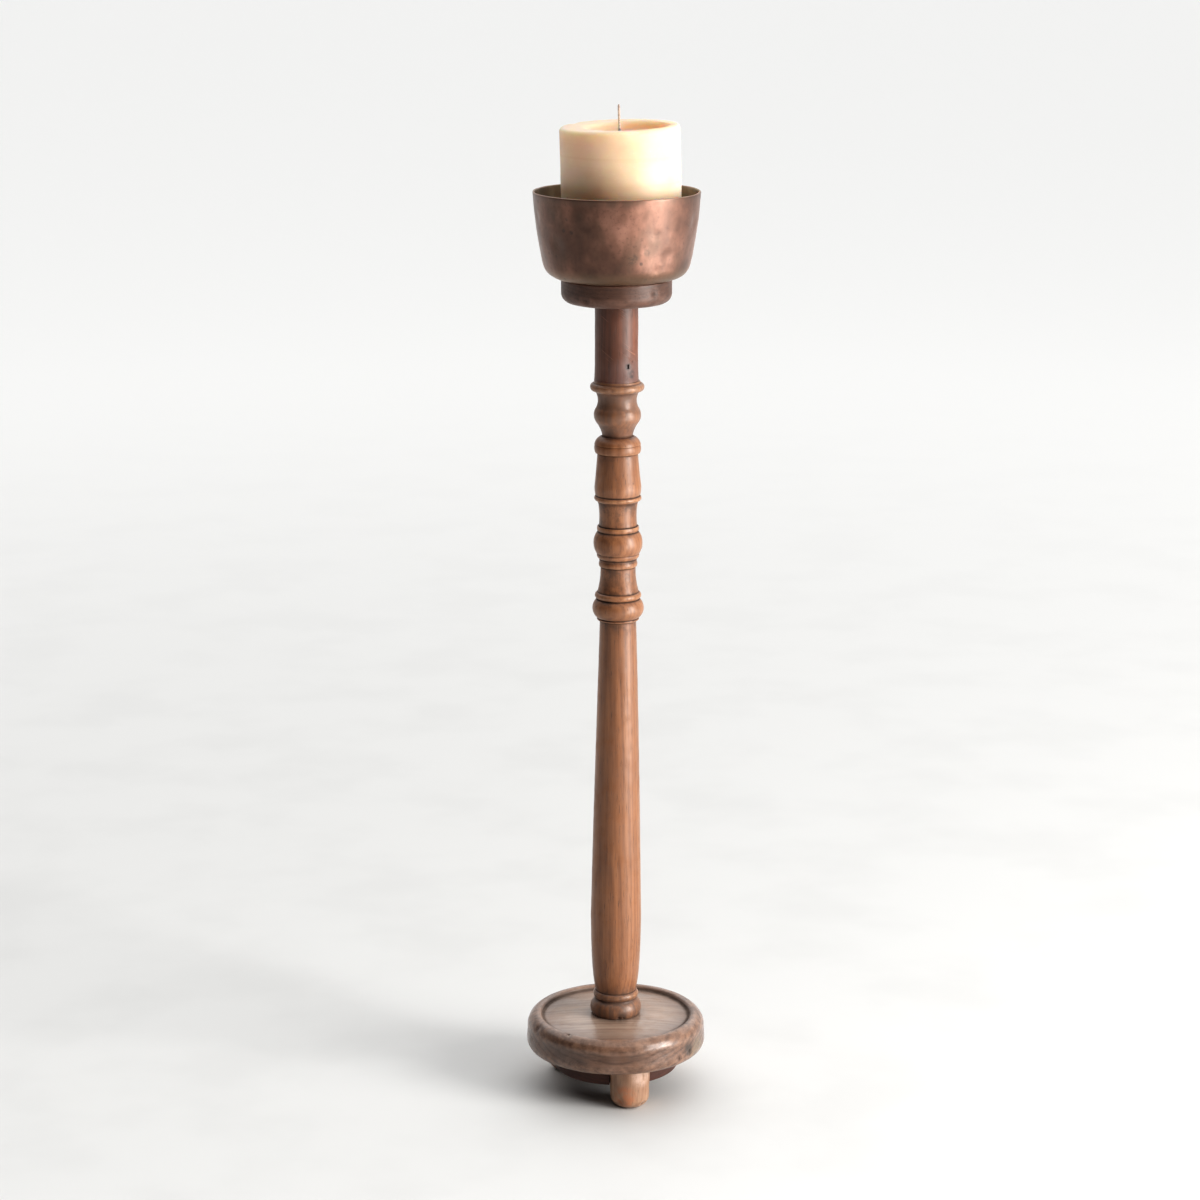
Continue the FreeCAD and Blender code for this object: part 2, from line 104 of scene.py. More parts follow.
def select_points(piece, test):
    """Selects the vertices whose place passes the test."""
    edit(piece)
    bpy.ops.mesh.select_mode(type="VERT")
    bpy.ops.mesh.select_all(action="DESELECT")
    bpy.ops.object.mode_set(mode="OBJECT")
    for vertex in piece.data.vertices:
        vertex.select = bool(test(vertex.co))
    bpy.ops.object.mode_set(mode="EDIT")


print("selecting helpers ready")

# %% [markdown]
# ## The lathe
# Almost every piece of this object came off a lathe, so almost every piece here is made the
# same way: one point is extruded along the outline, and the outline is spun round the
# axis. Building from stacked cylinders would be quicker, but would leave hard steps where a
# turner's gouge leaves a flowing curve. An outline is written as a turner would mark it
# out: a straight run is its end point, and an arc is a middle point and an end point.

# %% The lathe
def arc_points(start, middle, end, spacing):
    """Points along the circle through three points, without the first of them."""
    (ax, ay), (bx, by), (cx, cy) = start, middle, end
    cross = 2 * (ax * (by - cy) + bx * (cy - ay) + cx * (ay - by))
    if abs(cross) < 1e-6:
        return run_points(start, end, spacing)
    a2, b2, c2 = ax * ax + ay * ay, bx * bx + by * by, cx * cx + cy * cy
    ox = (a2 * (by - cy) + b2 * (cy - ay) + c2 * (ay - by)) / cross
    oy = (a2 * (cx - bx) + b2 * (ax - cx) + c2 * (bx - ax)) / cross
    radius = math.hypot(ax - ox, ay - oy)
    first = math.atan2(ay - oy, ax - ox)
    through = (math.atan2(by - oy, bx - ox) - first) % math.tau
    sweep = (math.atan2(cy - oy, cx - ox) - first) % math.tau
    if through > sweep:
        sweep -= math.tau
    count = max(4, math.ceil(abs(sweep) * radius / spacing))
    return [(ox + radius * math.cos(first + sweep * i / count),
             oy + radius * math.sin(first + sweep * i / count)) for i in range(1, count + 1)]


def run_points(start, end, spacing):
    """Points along a straight run, without the first of them."""
    count = max(1, math.ceil(math.dist(start, end) / spacing))
    return [(start[0] + (end[0] - start[0]) * i / count,
             start[1] + (end[1] - start[1]) * i / count) for i in range(1, count + 1)]


def outline(start, steps, spacing=1.0):
    """All the points of an outline in millimetres, about that far apart."""
    points = [start]
    for step in steps:
        if len(step) == 4:
            points += arc_points(points[-1], step[:2], step[2:], spacing)
        else:
            points += run_points(points[-1], step, spacing)
    return points


def round_corner(centre, radius, from_angle, to_angle):
    """The step of a round corner, from one angle to the other, where 90 points up."""
    half, end = math.radians((from_angle + to_angle) / 2), math.radians(to_angle)
    return (centre[0] + radius * math.cos(half), centre[1] + radius * math.sin(half),
            centre[0] + radius * math.cos(end), centre[1] + radius * math.sin(end))


MERGE_GAP = 0.02    # of points that spinning leaves on top of one another


def turn(name, points, steps=128):
    """Turns an outline, in millimetres, into a closed solid of revolution."""
    deselect()
    start = Vector((points[0][0], 0, points[0][1])) * MM
    bpy.ops.mesh.primitive_plane_add(size=MM, location=start)
    piece = bpy.context.object
    piece.name = piece.data.name = name
    settle(piece)
    edit(piece)
    bpy.ops.mesh.select_all(action="SELECT")
    bpy.ops.mesh.merge(type="CENTER")
    for (r0, z0), (r1, z1) in zip(points, points[1:]):
        step = ((r1 - r0) * MM, 0, (z1 - z0) * MM)
        bpy.ops.mesh.extrude_region_move(TRANSFORM_OT_translate={"value": step})
    bpy.ops.mesh.select_all(action="SELECT")
    bpy.ops.mesh.spin(steps=steps, angle=math.tau, center=(0, 0, 0), axis=(0, 0, 1))
    bpy.ops.mesh.select_all(action="SELECT")
    bpy.ops.mesh.remove_doubles(threshold=MERGE_GAP * MM)
    bpy.ops.mesh.normals_make_consistent(inside=False)
    bpy.ops.object.mode_set(mode="OBJECT")
    print(f"turned {name}: {len(points)} points, {len(piece.data.polygons)} faces")
    return piece


print("a quarter circle of 10 mm takes",
      len(outline((10, 0), [round_corner((0, 0), 10, 0, 90)])), "points")


# %% [markdown]
# ## Age
# An old piece is never perfectly round. Three helpers add its age as real shape: a slow
# unevenness over the whole surface, single knocks pushed in with a soft edge, and a
# measure of what stands proud. The last one compares the piece with a smoothed copy. What
# stands proud is rubbed pale by hands, and what lies low keeps its dirt, so the wood
# finish reads that measure later.

# %% Age helpers
def uneven(piece, depth, size, inward=True):
    """Moves the surface by up to depth, in patches of that size, both in millimetres."""
    texture = bpy.data.textures.new(piece.name + "_uneven", "CLOUDS")
    texture.noise_scale = size * MM
    texture.noise_depth = 1
    modifier = piece.modifiers.new("uneven", "DISPLACE")
    modifier.texture = texture
    modifier.texture_coords = "LOCAL"
    modifier.strength = depth * MM
    modifier.mid_level = 1.0 if inward else 0.5
    return apply_all(piece)


def knock(piece, place, push, reach):
    """Pushes the surface at one place, all in millimetres, fading out over the reach."""
    spot = Vector(place) * MM
    nearest = min(piece.data.vertices, key=lambda v: (v.co - spot).length).index
    edit(piece)
    bpy.ops.mesh.select_mode(type="VERT")
    bpy.ops.mesh.select_all(action="DESELECT")
    bpy.ops.object.mode_set(mode="OBJECT")
    piece.data.vertices[nearest].select = True
    bpy.ops.object.mode_set(mode="EDIT")
    bpy.ops.transform.translate(value=Vector(push) * MM, use_proportional_edit=True,
                                proportional_edit_falloff="SMOOTH",
                                proportional_size=reach * MM)
    bpy.ops.object.mode_set(mode="OBJECT")


def knock_all(piece, knocks):
    """Each knock is (place, push, reach)."""
    for place, push, reach in knocks:
        knock(piece, place, push, reach)


def places_of(mesh):
    """The places of a mesh's points, one to a row."""
    flat = np.empty(len(mesh.vertices) * 3, dtype=np.float32)
    mesh.vertices.foreach_get("co", flat)
    return flat.reshape(-1, 3)


def measure_wear(piece, passes=12, name="proud"):
    """Stores how far each point stands proud of a smoothed copy, in millimetres."""
    copy = piece.copy()
    copy.data = piece.data.copy()
    bpy.context.collection.objects.link(copy)
    modifier = copy.modifiers.new("worn", "SMOOTH")
    modifier.iterations = passes
    apply_all(copy)
    before, after = places_of(piece.data), places_of(copy.data)
    normals = np.empty(len(before) * 3, dtype=np.float32)
    piece.data.vertices.foreach_get("normal", normals)
    proud = ((before - after) * normals.reshape(-1, 3)).sum(1) / MM
    proud -= np.median(proud)
    layer = piece.data.attributes.new(name, "FLOAT", "POINT")
    layer.data.foreach_set("value", proud.astype(np.float32))
    spare = copy.data
    bpy.data.objects.remove(copy)
    bpy.data.meshes.remove(spare)
    print(f"{piece.name}: {name} from {proud.min():.2f} to {proud.max():.2f} mm")


def finish_piece(piece, body, slot, material, *nodes):
    """Gives a piece its material, and says what it rides on and stands for."""
    piece.data.materials.clear()
    piece.data.materials.append(material)
    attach(piece, body)
    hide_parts(*nodes)
    return piece


print("age helpers ready")


# %% [markdown]
# ## Writing a finish as sums
# A finish is a web of nodes. Drawing one node at a time hides the idea, so a small class
# wraps a socket and turns Python's own signs into Math nodes. `1 - mask * 0.4` then reads
# like the sum it is. Every other node comes from one method, `add`.

# %% The finish helpers
def tone(red, green, blue):
    """A colour given as on a paint card, from 0 to 255, in the linear light of a shader."""
    parts = [c / 255 for c in (red, green, blue)]
    return tuple(c / 12.92 if c < 0.04045 else ((c + 0.055) / 1.055) ** 2.4 for c in parts) + (1,)


class Wire:
    """A socket that can be used in a sum."""

    def __init__(self, finish, socket):
        self.finish = finish
        self.socket = socket

    def _sum(self, how, *values):
        return self.finish.add("Math", {"operation": how}, dict(enumerate(values)))

    def __add__(self, other):
        return self._sum("ADD", self, other)

    def __sub__(self, other):
        return self._sum("SUBTRACT", self, other)

    def __rsub__(self, other):
        return self._sum("SUBTRACT", other, self)

    def __mul__(self, other):
        return self._sum("MULTIPLY", self, other)

    def __pow__(self, other):
        return self._sum("POWER", self, other)

    __radd__ = __add__
    __rmul__ = __mul__

    def most(self, other):
        """The larger of the two."""
        return self._sum("MAXIMUM", self, other)

    def wave(self):
        """A smooth wave from 0 to 1 and back, once for each turn of the value."""
        return self._sum("COSINE", self * math.tau) * -0.5 + 0.5

    def between(self, low, high):
        """0 below low, 1 above high, and a soft step between them."""
        return self.finish.add("MapRange", {"interpolation_type": "SMOOTHSTEP"},
                               {0: self, 1: low, 2: high, 3: 0.0, 4: 1.0})


class Finish:
    """A material whose nodes are written as sums."""

    def __init__(self, name):
        self.material = bpy.data.materials.new(name)
        self.material.use_nodes = True
        self.nodes = self.material.node_tree.nodes
        self.links = self.material.node_tree.links
        self.shader = next(n for n in self.nodes if n.type == "BSDF_PRINCIPLED")

    def add(self, kind, settings=None, inputs=None, output=0):
        """A node with its settings, and with values or wires in its sockets."""
        node = self.nodes.new("ShaderNode" + kind)
        for setting, value in (settings or {}).items():
            if setting == "stops":
                self._set_stops(node.color_ramp, value)
            else:
                setattr(node, setting, value)
        for socket, value in (inputs or {}).items():
            self._feed(node.inputs[socket], value)
        return Wire(self, node.outputs[output])

    def _set_stops(self, ramp, stops):
        while len(ramp.elements) < len(stops):
            ramp.elements.new(1.0)
        for element, (position, colour) in zip(ramp.elements, stops):
            element.position = position
            element.color = colour

    def _feed(self, socket, value):
        if isinstance(value, Wire):
            self.links.new(value.socket, socket)
        else:
            socket.default_value = value

    def set(self, **sockets):
        """Sets or links the shader's sockets, with _ for a space."""
        for name, value in sockets.items():
            self._feed(self.shader.inputs[name.replace("_", " ")], value)

    def here(self, stretch=(1, 1, 1), turned=(0, 0, 0), shift=(0, 0, 0)):
        """The place on the object in metres, turned, moved and then stretched."""
        place = self.add("TexCoord", output="Object")
        angles = tuple(math.radians(a) for a in turned)
        turned_place = self.add("Mapping", {"vector_type": "POINT"},
                                {"Vector": place, "Rotation": angles, "Location": shift})
        return self.add("VectorMath", {"operation": "MULTIPLY"},
                        {0: turned_place, 1: tuple(stretch)})

    def noise(self, place, scale=1.0, detail=2.0, roughness=0.5):
        return self.add("TexNoise", None, {"Vector": place, "Scale": scale, "Detail": detail,
                                           "Roughness": roughness})

    def stored(self, name):
        """A number that is stored on each of the mesh's points."""
        return self.add("Attribute", {"attribute_name": name}, output="Fac")

    def blend(self, under, over, share):
        """One colour laid over another, by a share from 0 to 1."""
        return self.add("Mix", {"data_type": "RGBA"}, {0: share, 6: under, 7: over}, output=2)

    def height(self):
        """The height on the object, in millimetres."""
        z = self.add("SeparateXYZ", None, {0: self.here()}, output="Z")
        return z * (1 / MM)

    def length(self, place):
        """How far a place is from the origin."""
        return self.add("VectorMath", {"operation": "LENGTH"}, {0: place}, output="Value")

    def spot(self, place, radius):
        """1 at a place in millimetres, fading to 0 at that radius round it."""
        away = self.here(shift=tuple(-c * MM for c in place))
        return 1 - self.length(away).between(radius * 0.45 * MM, radius * MM)

    def relief(self, height, depth):
        """A bump of that depth in millimetres."""
        self.set(Normal=self.add("Bump", None, {"Strength": 1.0, "Distance": depth * MM,
                                                "Height": height}))


print("mid grey in linear light:", round(tone(128, 128, 128)[0], 3))


# %% [markdown]
# ## Wood
# Wood is solid, so its pattern is solid too: growth rings are cylinders round a heart that
# lies beside the piece, and every cut through them gives the right figure by itself. An
# image would need a seam somewhere. Fine fibres and pores are noise stretched along the
# grain. Over that come the stain's clouds, pale rubbed edges, dirt in the quirks, and a
# thin worn wax polish that makes the highlights.

# %% The wood finish
SMALL_MARK = 15.0   # a larger mark follows the grain


def wood(name, pale, deep, dirt, rubbed, lie=(0, 0, 0), heart=(24, 15), ring_gap=2.6,
         figure=0.5, clouds=0.5, pores=0.5, scratches=0.0, polish=0.25, wax=0.3, gloss=0.42,
         relief=0.12, marks=()):
    """A wood finish. The grain runs along Z, unless lie turns it. Heart and ring_gap are in
    millimetres. Figure is how strongly rings and fibres show, and clouds, pores and
    scratches say the same of themselves. Polish is how much of a wax coat is left, wax how
    dull that coat is, and gloss how dull the bare wood is. Relief is in millimetres. Each
    mark is (place, radius, colour, strength)."""
    f = Finish(name)
    heart_shift = (-heart[0] * MM, -heart[1] * MM, 0)
    across = f.here((1, 1, 0.02), lie, heart_shift)
    wander = f.noise(f.here((38, 38, 7), lie), 1.0, 2.0) - 0.5
    rings = (f.length(across) * (1 / (ring_gap * MM)) + wander * 3.2).wave()
    late = rings ** 2.2
    fibre = f.noise(f.here((1500, 1500, 24), lie), 1.0, 3.0, 0.6)
    streak = f.noise(f.here((330, 330, 7), lie), 1.0, 2.0, 0.55)
    pore = f.noise(f.here((2300, 2300, 95), lie), 1.0, 1.0).between(0.62, 0.74)
    cloud = f.noise(f.here((26, 26, 11), lie), 1.0, 3.0, 0.6)
    proud = f.stored("proud")
    chafe = f.noise(f.here(), 210.0, 3.0, 0.65)
    worn = proud.between(0.03, 0.22) * chafe.between(0.25, 0.8)
    low = (proud * -1).between(0.02, 0.34)
    slanted = f.noise(f.here((1300, 60, 16), (0, 52, 0)), 1.0, 1.0).between(0.68, 0.74)
    slanted = slanted * f.noise(f.here(), 75.0, 1.0).between(0.42, 0.55) * scratches

    grain = late * (0.45 * figure) + fibre.between(0.3, 0.7) * (0.4 * figure)
    grain = grain + streak.between(0.35, 0.68) * (0.5 * figure)
    colour = f.blend(pale, deep, grain)
    colour = f.blend(colour, deep, cloud.between(0.42, 0.72) * clouds)
    swell = f.stored("swell")
    colour = f.blend(colour, deep, (swell * -1).between(0.1, 1.2) * 0.6)
    grime = f.noise(f.here(), 120.0, 4.0, 0.7).between(0.42, 0.62)
    colour = f.blend(colour, dirt, (swell * -1).between(0.0, 0.5) * grime * 0.55)
    colour = f.blend(colour, dirt, pore * pores)
    colour = f.blend(colour, dirt, low * 0.8)
    colour = f.blend(colour, rubbed, (worn * 0.6).most(slanted * 0.6))
    speck = f.noise(f.here(), 900.0, 2.0).between(0.68, 0.8)
    colour = f.blend(colour, dirt, speck * 0.4)
    for place, radius, mark_colour, strength in marks:
        ragged = chafe.between(0.25, 0.6)
        if radius > SMALL_MARK:
            ragged = streak.between(0.3, 0.65) * 0.55 + 0.45
        colour = f.blend(colour, mark_colour, f.spot(place, radius) * strength * ragged)
    dull = f.noise(f.here(), 70.0, 3.0, 0.6)
    f.set(Base_Color=colour, Roughness=gloss + dull * 0.22 + low * 0.25 - worn * 0.06,
          Coat_Weight=(1 - low) * dull.between(0.2, 0.6) * polish)
    f.set(Coat_Roughness=wax, IOR=1.5, Sheen_Weight=0.05, Sheen_Roughness=0.5)
    f.relief(fibre * 0.35 - pore * pores * 1.5 - late * 0.25 + chafe * 0.5 - slanted, relief)
    return f.material


print("wood finish ready")


# %% [markdown]
# ## The spindle
# The stem is one long spindle turning: a torus foot, a swelling shaft, and a run of beads,
# coves and rings up to an astragal. Each turning is written as its height, its radius half
# way up and its radius at the top, because that is how a turner reads a drawing. A tenon
# at each end goes into the base and into the neck.

# %% Turn the spindle
SPINDLE_TURNINGS = [
    ("foot torus", 10.1, 16.95, 14.1), ("foot quirk", 1.0, None, 13.6),
    ("foot ring", 5.0, 15.1, 13.8), ("foot quirk", 0.2, None, 13.5),
    ("shaft foot", 16.3, 14.85, 15.65), ("shaft belly", 37.5, 16.5, 16.75),
    ("shaft taper", 199.0, 14.65, 11.9), ("shaft top", 1.6, None, 11.9),
    ("low ring shoulder", 0.0, None, 13.3), ("low ring", 1.5, 13.8, 13.5),
    ("low bead", 12.2, 16.75, 14.3), ("low quirk", 0.6, None, 13.9),
    ("low collar", 4.4, 15.15, 13.5), ("low flare", 17.0, 11.8, 11.5),
    ("middle ring shoulder", 0.0, None, 12.2), ("middle ring", 3.2, 12.6, 12.2),
    ("middle quirk", 1.8, None, 12.2), ("middle collar", 3.4, 13.7, 13.8),
    ("middle bead", 13.4, 15.95, 14.2), ("middle quirk", 1.4, None, 13.2),
    ("upper ring", 3.4, 13.7, 13.3), ("upper ring shoulder", 0.0, None, 12.5),
    ("upper waist", 14.4, 12.15, 12.7), ("upper cove", 2.6, 13.1, 14.7),
    ("upper collar", 3.0, 15.35, 14.4), ("barrel foot", 5.9, 15.0, 15.15),
    ("barrel", 22.1, 14.0, 13.15), ("cap shoulder", 0.0, None, 14.5),
    ("cap band", 4.8, 15.1, 14.9), ("cap line", 0.6, None, 14.5),
    ("cap lip", 0.0, None, 15.0), ("cap dome", 5.6, 13.9, 9.8),
    ("vase neck", 8.0, 10.9, 13.1), ("vase belly", 10.4, 15.2, 13.6),
    ("vase waist", 8.2, 12.55, 13.1), ("vase cove", 2.4, 13.6, 15.2),
    ("astragal", 5.4, 17.5, 15.2), ("land", 1.4, None, 14.6),
]
LOW_TENON, TOP_TENON = 9.0, 8.0
GLUE_GAP = 0.1
SPINDLE_FOOT = 15.8
spindle_low, spindle_high = (corner.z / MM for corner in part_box("spindle"))
neck_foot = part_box("neck_sleeve")[0].z / MM
seat = neck_foot - sum(height for _, height, _, _ in SPINDLE_TURNINGS)


def turned_spindle():
    """All the turnings, one on top of the other, between the two tenons."""
    steps = [(LOW_TENON, seat), (SPINDLE_FOOT, seat)]
    z = seat
    for _, height, middle, top in SPINDLE_TURNINGS:
        steps.append((top, z + height) if middle is None
                     else (middle, z + height / 2, top, z + height))
        z += height
    steps += [(TOP_TENON, z), (TOP_TENON, spindle_high), (0, spindle_high)]
    points = outline((0, spindle_low), [(LOW_TENON, spindle_low)] + steps)
    return turn("turned_spindle", points, 96)


spindle = turned_spindle()
print(f"seat at {seat:.1f} mm, outline up to {neck_foot:.1f} mm")

# %% [markdown]
# ## The spindle's bow and wear
# The wood has dried unevenly, so the spindle bows a little to one side. A bow is a large
# soft push, so the ring of points at its middle is moved with proportional editing over
# half the length each way. Then come the knocks: two chips in the foot torus and a bruised
# astragal. The second measure of wear uses many more passes, so it tells a bead from a
# cove, and coves keep more of the old dirt.

# %% Bow the spindle and knock it
BOW = 1.2
BOW_HEIGHT = 330.0
BOW_BAND = 4.0
BOW_REACH = 255.0
SWELL_PASSES = 160


def bow(piece):
    """Pushes the middle of the piece to one side, and the rest after it."""
    select_points(piece, lambda p: abs(p.z / MM - BOW_HEIGHT) < BOW_BAND)
    bpy.ops.transform.translate(value=(BOW * MM, 0, 0), use_proportional_edit=True,
                                proportional_edit_falloff="SMOOTH",
                                proportional_size=BOW_REACH * MM)
    bpy.ops.object.mode_set(mode="OBJECT")


bow(spindle)
uneven(spindle, 0.18, 7.0)
knock_all(spindle, [
    ((2.5, -15.6, seat + 1.2), (-0.2, 1.2, 0.3), 2.2),
    ((5.5, -15.0, seat + 0.8), (-0.3, 0.8, 0.2), 1.6),
    ((-3.0, -17.0, neck_foot - 4.0), (0.0, 0.5, 0.0), 2.5)])
smooth(spindle)
measure_wear(spindle)
measure_wear(spindle, SWELL_PASSES, "swell")
spindle_wood = wood(
    "spindle_wood", pale=tone(162, 113, 78), deep=tone(104, 67, 46), dirt=tone(50, 36, 28),
    rubbed=tone(188, 144, 108), heart=(21, 33), ring_gap=2.3, figure=0.55, clouds=0.35,
    polish=0.6, gloss=0.4,
    marks=[((3.5, -15.8, seat + 1.5), 4.5, tone(20, 14, 12), 1.0),
           ((0, -6, seat + 1), 28, tone(106, 84, 72), 0.85),
           ((0, 0, neck_foot - 14), 30, tone(118, 90, 74), 0.8),
           ((0, 0, neck_foot - 50), 24, tone(124, 82, 54), 0.5)])
finish_piece(spindle, "stand", "spindle_wood", spindle_wood, "spindle")


# %% [markdown]
# ## The base
# The base is a thick disc with a soft rounded rim round a shallow recess. Its lower edge
# swells a little, because it was turned by eye. The recess rises gently to the spindle's
# seat. It is face-grain wood, so the fibres lie across it and not up it.

# %% Turn the base disc
BASE_BULGE = 0.7
BASE_ROUNDING = 6.0
BASE_RIM = 13.0     # the width that is softened
CROWN_WIDTH = 9.4
CROWN_DROP = 10.0
CREST = 0.64        # the share of the crown's width that lies outside its crest
LIP_DROP = 0.9      # from the crest to the recess's edge
LIP_SLOPE = 0.4
RECESS_DEPTH = 3.0
SEAT_RADIUS = 17.5
base_low, base_high = (corner.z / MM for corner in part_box("base_disc"))
base_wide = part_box("base_disc")[1].x / MM


def turned_base():
    """The disc, from its bulging lower edge over the crown and down into the recess."""
    waist = base_wide - BASE_BULGE
    middle = base_wide - BASE_ROUNDING
    crown = waist - CROWN_WIDTH * CREST
    recess = waist - CROWN_WIDTH
    floor = base_high - RECESS_DEPTH
    bore = LOW_TENON + GLUE_GAP
    points = outline((bore, base_low), [
        (middle, base_low),
        round_corner((middle, base_low + BASE_ROUNDING), BASE_ROUNDING, -90, 0),
        (waist, base_high - CROWN_DROP),
        (waist - (waist - crown) * 0.29, base_high - CROWN_DROP * 0.29, crown, base_high),
        (recess + (crown - recess) * 0.3, base_high - LIP_DROP * 0.3,
         recess, base_high - LIP_DROP),
        (recess - LIP_SLOPE, floor),
        ((recess + SEAT_RADIUS) / 2, floor + (seat - floor) * 0.62, SEAT_RADIUS, seat),
        (bore, seat),
        (bore, base_low),
    ], 1.1)
    return turn("turned_base", points, 200)


def soften_rim(piece, passes=5):
    """Rounds the creases of the rim, as years of wiping do, and leaves the middle alone."""
    select_points(piece, lambda p: math.hypot(p.x, p.y) > (base_wide - BASE_RIM) * MM)
    bpy.ops.mesh.vertices_smooth(factor=0.5, repeat=passes)
    bpy.ops.object.mode_set(mode="OBJECT")


base = turned_base()
soften_rim(base)
uneven(base, 0.35, 16.0)
knock_all(base, [
    ((-31.0, -43.3, base_high), (0.3, 0.5, -0.9), 2.4),
    ((49.0, -33.5, base_low + 8), (-0.5, 0.5, 0.2), 4.0),
    ((42.0, -41.0, base_low + 6), (-0.5, 0.6, 0.2), 3.5),
    ((-52.0, -24.0, base_high - 3), (0.5, 0.3, -0.4), 4.0),
    ((18.0, 54.0, base_high - 1), (-0.2, -0.4, -0.6), 3.0),
    ((-48.0, 30.0, base_low + 3), (0.6, -0.3, 0.4), 3.0)])
smooth(base)
measure_wear(base, 20)
base_wood = wood(
    "base_wood", pale=tone(132, 101, 83), deep=tone(82, 60, 48), dirt=tone(40, 29, 23),
    rubbed=tone(164, 130, 108), lie=(0, 90, 6), heart=(-75, 12), ring_gap=3.4, figure=0.85,
    clouds=0.6, pores=0.12, polish=1.0, wax=0.2, gloss=0.36, relief=0.3,
    # The top is painted paler: partly dust, and partly painted light where the top faces the
    # light from above.
    marks=[((0, 0, base_high - 1), 60.0, tone(192, 168, 150), 0.7),
           ((-31.0, -43.3, base_high), 1.7, tone(206, 184, 162), 1.0),
           ((54.0, -24.0, base_low + 5), 13.0, tone(122, 112, 92), 0.5),
           ((47.0, -34.0, base_low + 10), 6.0, tone(60, 48, 40), 0.9),
           # Painted shade: the recess is darkened round the spindle's foot, where the spindle
           # shades it.
           ((0, 0, seat), 24.0, tone(74, 60, 54), 0.75)])
finish_piece(base, "stand", "base_wood", base_wood, "base_disc")

# %% [markdown]
# ## The hub
# Under the base is a second, smaller disc, cut away round three peg feet. The bites are
# cut with boolean cylinders, as a drill would cut them. The holes of its three screws and
# the counterbore of the stem's screw are cut too, so that the CAD file's own screws show.
# It is the darkest wood here, and hands never reach it, so it gets hardly any polish.

# %% Cut the hub
FOOT_CIRCLE = 40.5
FOOT_RADIUS = 13.5
FRONT_FOOT = -77
REAR_FOOT = 140
FOOT_TURNS = {"foot_front": FRONT_FOOT, "foot_rear_right": FRONT_FOOT + REAR_FOOT,
              "foot_rear_left": FRONT_FOOT - REAR_FOOT}
SCREW_TURNS = [FRONT_FOOT + REAR_FOOT / 2, FRONT_FOOT + 180, FRONT_FOOT - REAR_FOOT / 2]
SCREW_CIRCLE = 27.5
SCREW_HEAD = 3.5
SCREW_ROOM = 0.6
SCREW_SUNK = 0.25
DRILL_LENGTH = 40.0
COUNTERBORE_RADIUS, COUNTERBORE_DEPTH = 10.8, 5.5
HUB_RADIUS = 41.5
HUB_ROUNDING = 1.5
hub_low, hub_high = (corner.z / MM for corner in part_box("base_hub"))


def around(radius, angle, z):
    """A place in metres, from a radius and height in millimetres and an angle in degrees."""
    turned = math.radians(angle)
    return Vector((radius * math.cos(turned), radius * math.sin(turned), z)) * MM


def cut(piece, cutter):
    """Takes the cutter out of the piece, and throws the cutter away."""
    modifier = piece.modifiers.new("cut", "BOOLEAN")
    modifier.operation = "DIFFERENCE"
    modifier.object = cutter
    apply_all(piece)
    spare = cutter.data
    bpy.data.objects.remove(cutter)
    bpy.data.meshes.remove(spare)


def drill(place, radius, depth):
    """A cylinder to cut a round hole with. Radius and depth are in millimetres."""
    deselect()
    bpy.ops.mesh.primitive_cylinder_add(vertices=64, radius=radius * MM, depth=depth * MM,
                                        location=place)
    return bpy.context.object


def countersink(place, size):
    """A cone to cut a screw's seat with, as wide each way as it is deep."""
    deselect()
    bpy.ops.mesh.primitive_cone_add(vertices=32, radius1=size * MM, radius2=0.0,
                                    depth=size * MM, location=place)
    return bpy.context.object


def notched_hub():
    """The turned disc with its counterbore, three bites for the feet and three screw seats."""
    bore = LOW_TENON + GLUE_GAP
    roof = hub_low + COUNTERBORE_DEPTH
    points = outline((bore, roof), [
        (COUNTERBORE_RADIUS, roof),
        (COUNTERBORE_RADIUS, hub_low),
        (HUB_RADIUS - HUB_ROUNDING, hub_low),
        round_corner((HUB_RADIUS - HUB_ROUNDING, hub_low + HUB_ROUNDING), HUB_ROUNDING, -90, 0),
        (HUB_RADIUS, hub_high),
        (bore, hub_high),
        (bore, roof),
    ], 1.4)
    hub = turn("notched_hub", points, 144)
    for angle in FOOT_TURNS.values():
        peg_middle = around(FOOT_CIRCLE, angle, DRILL_LENGTH / 2)
        cut(hub, drill(peg_middle, FOOT_RADIUS + GLUE_GAP, DRILL_LENGTH))
    for angle in SCREW_TURNS:
        seat_middle = around(SCREW_CIRCLE, angle, hub_low + SCREW_HEAD / 2 - SCREW_SUNK)
        cut(hub, countersink(seat_middle, SCREW_HEAD + SCREW_ROOM))
    return hub


hub = smooth(notched_hub(), 30)
hub_wood = wood("hub_wood", pale=tone(92, 56, 45), deep=tone(56, 34, 27), dirt=tone(28, 17, 14),
                rubbed=tone(128, 84, 64), lie=(0, 90, -24), heart=(-60, 20), ring_gap=3.0,
                figure=0.6, clouds=0.5, polish=0.15, gloss=0.5)
finish_piece(hub, "stand", "hub_wood", hub_wood, "base_hub")
print("hub faces:", len(hub.data.polygons))

# %% [markdown]
# ## The feet
# The feet are three pegs, each with a tenon that goes up into the base. Their soles have
# been rounded by years of being pushed about, and their pale wood has kept only patches of
# its stain. All three could be copies of one mesh, but then a stain would repeat, so each
# is turned by itself and the shared finish falls on each in a different place.

# %% Turn the feet
FOOT_TENON_RADIUS, FOOT_TENON_LENGTH = 7.0, 10.0
FOOT_ROUNDING = 7.0
FOOT_TAPER = 0.5
foot_wood = wood("foot_wood", pale=tone(188, 154, 128), deep=tone(138, 102, 80),
                 dirt=tone(58, 42, 34), rubbed=tone(212, 172, 142), heart=(16, -30),
                 ring_gap=2.2, figure=0.55, clouds=0.75, polish=0.5, gloss=0.42,
                 marks=[(tuple(around(FOOT_CIRCLE + 14, FRONT_FOOT - 8, 9) / MM), 11.0,
                         tone(186, 122, 86), 0.8),
                        (tuple(around(FOOT_CIRCLE + 14, FRONT_FOOT + 6, 24) / MM), 10.0,
                         tone(200, 172, 156), 0.8)])


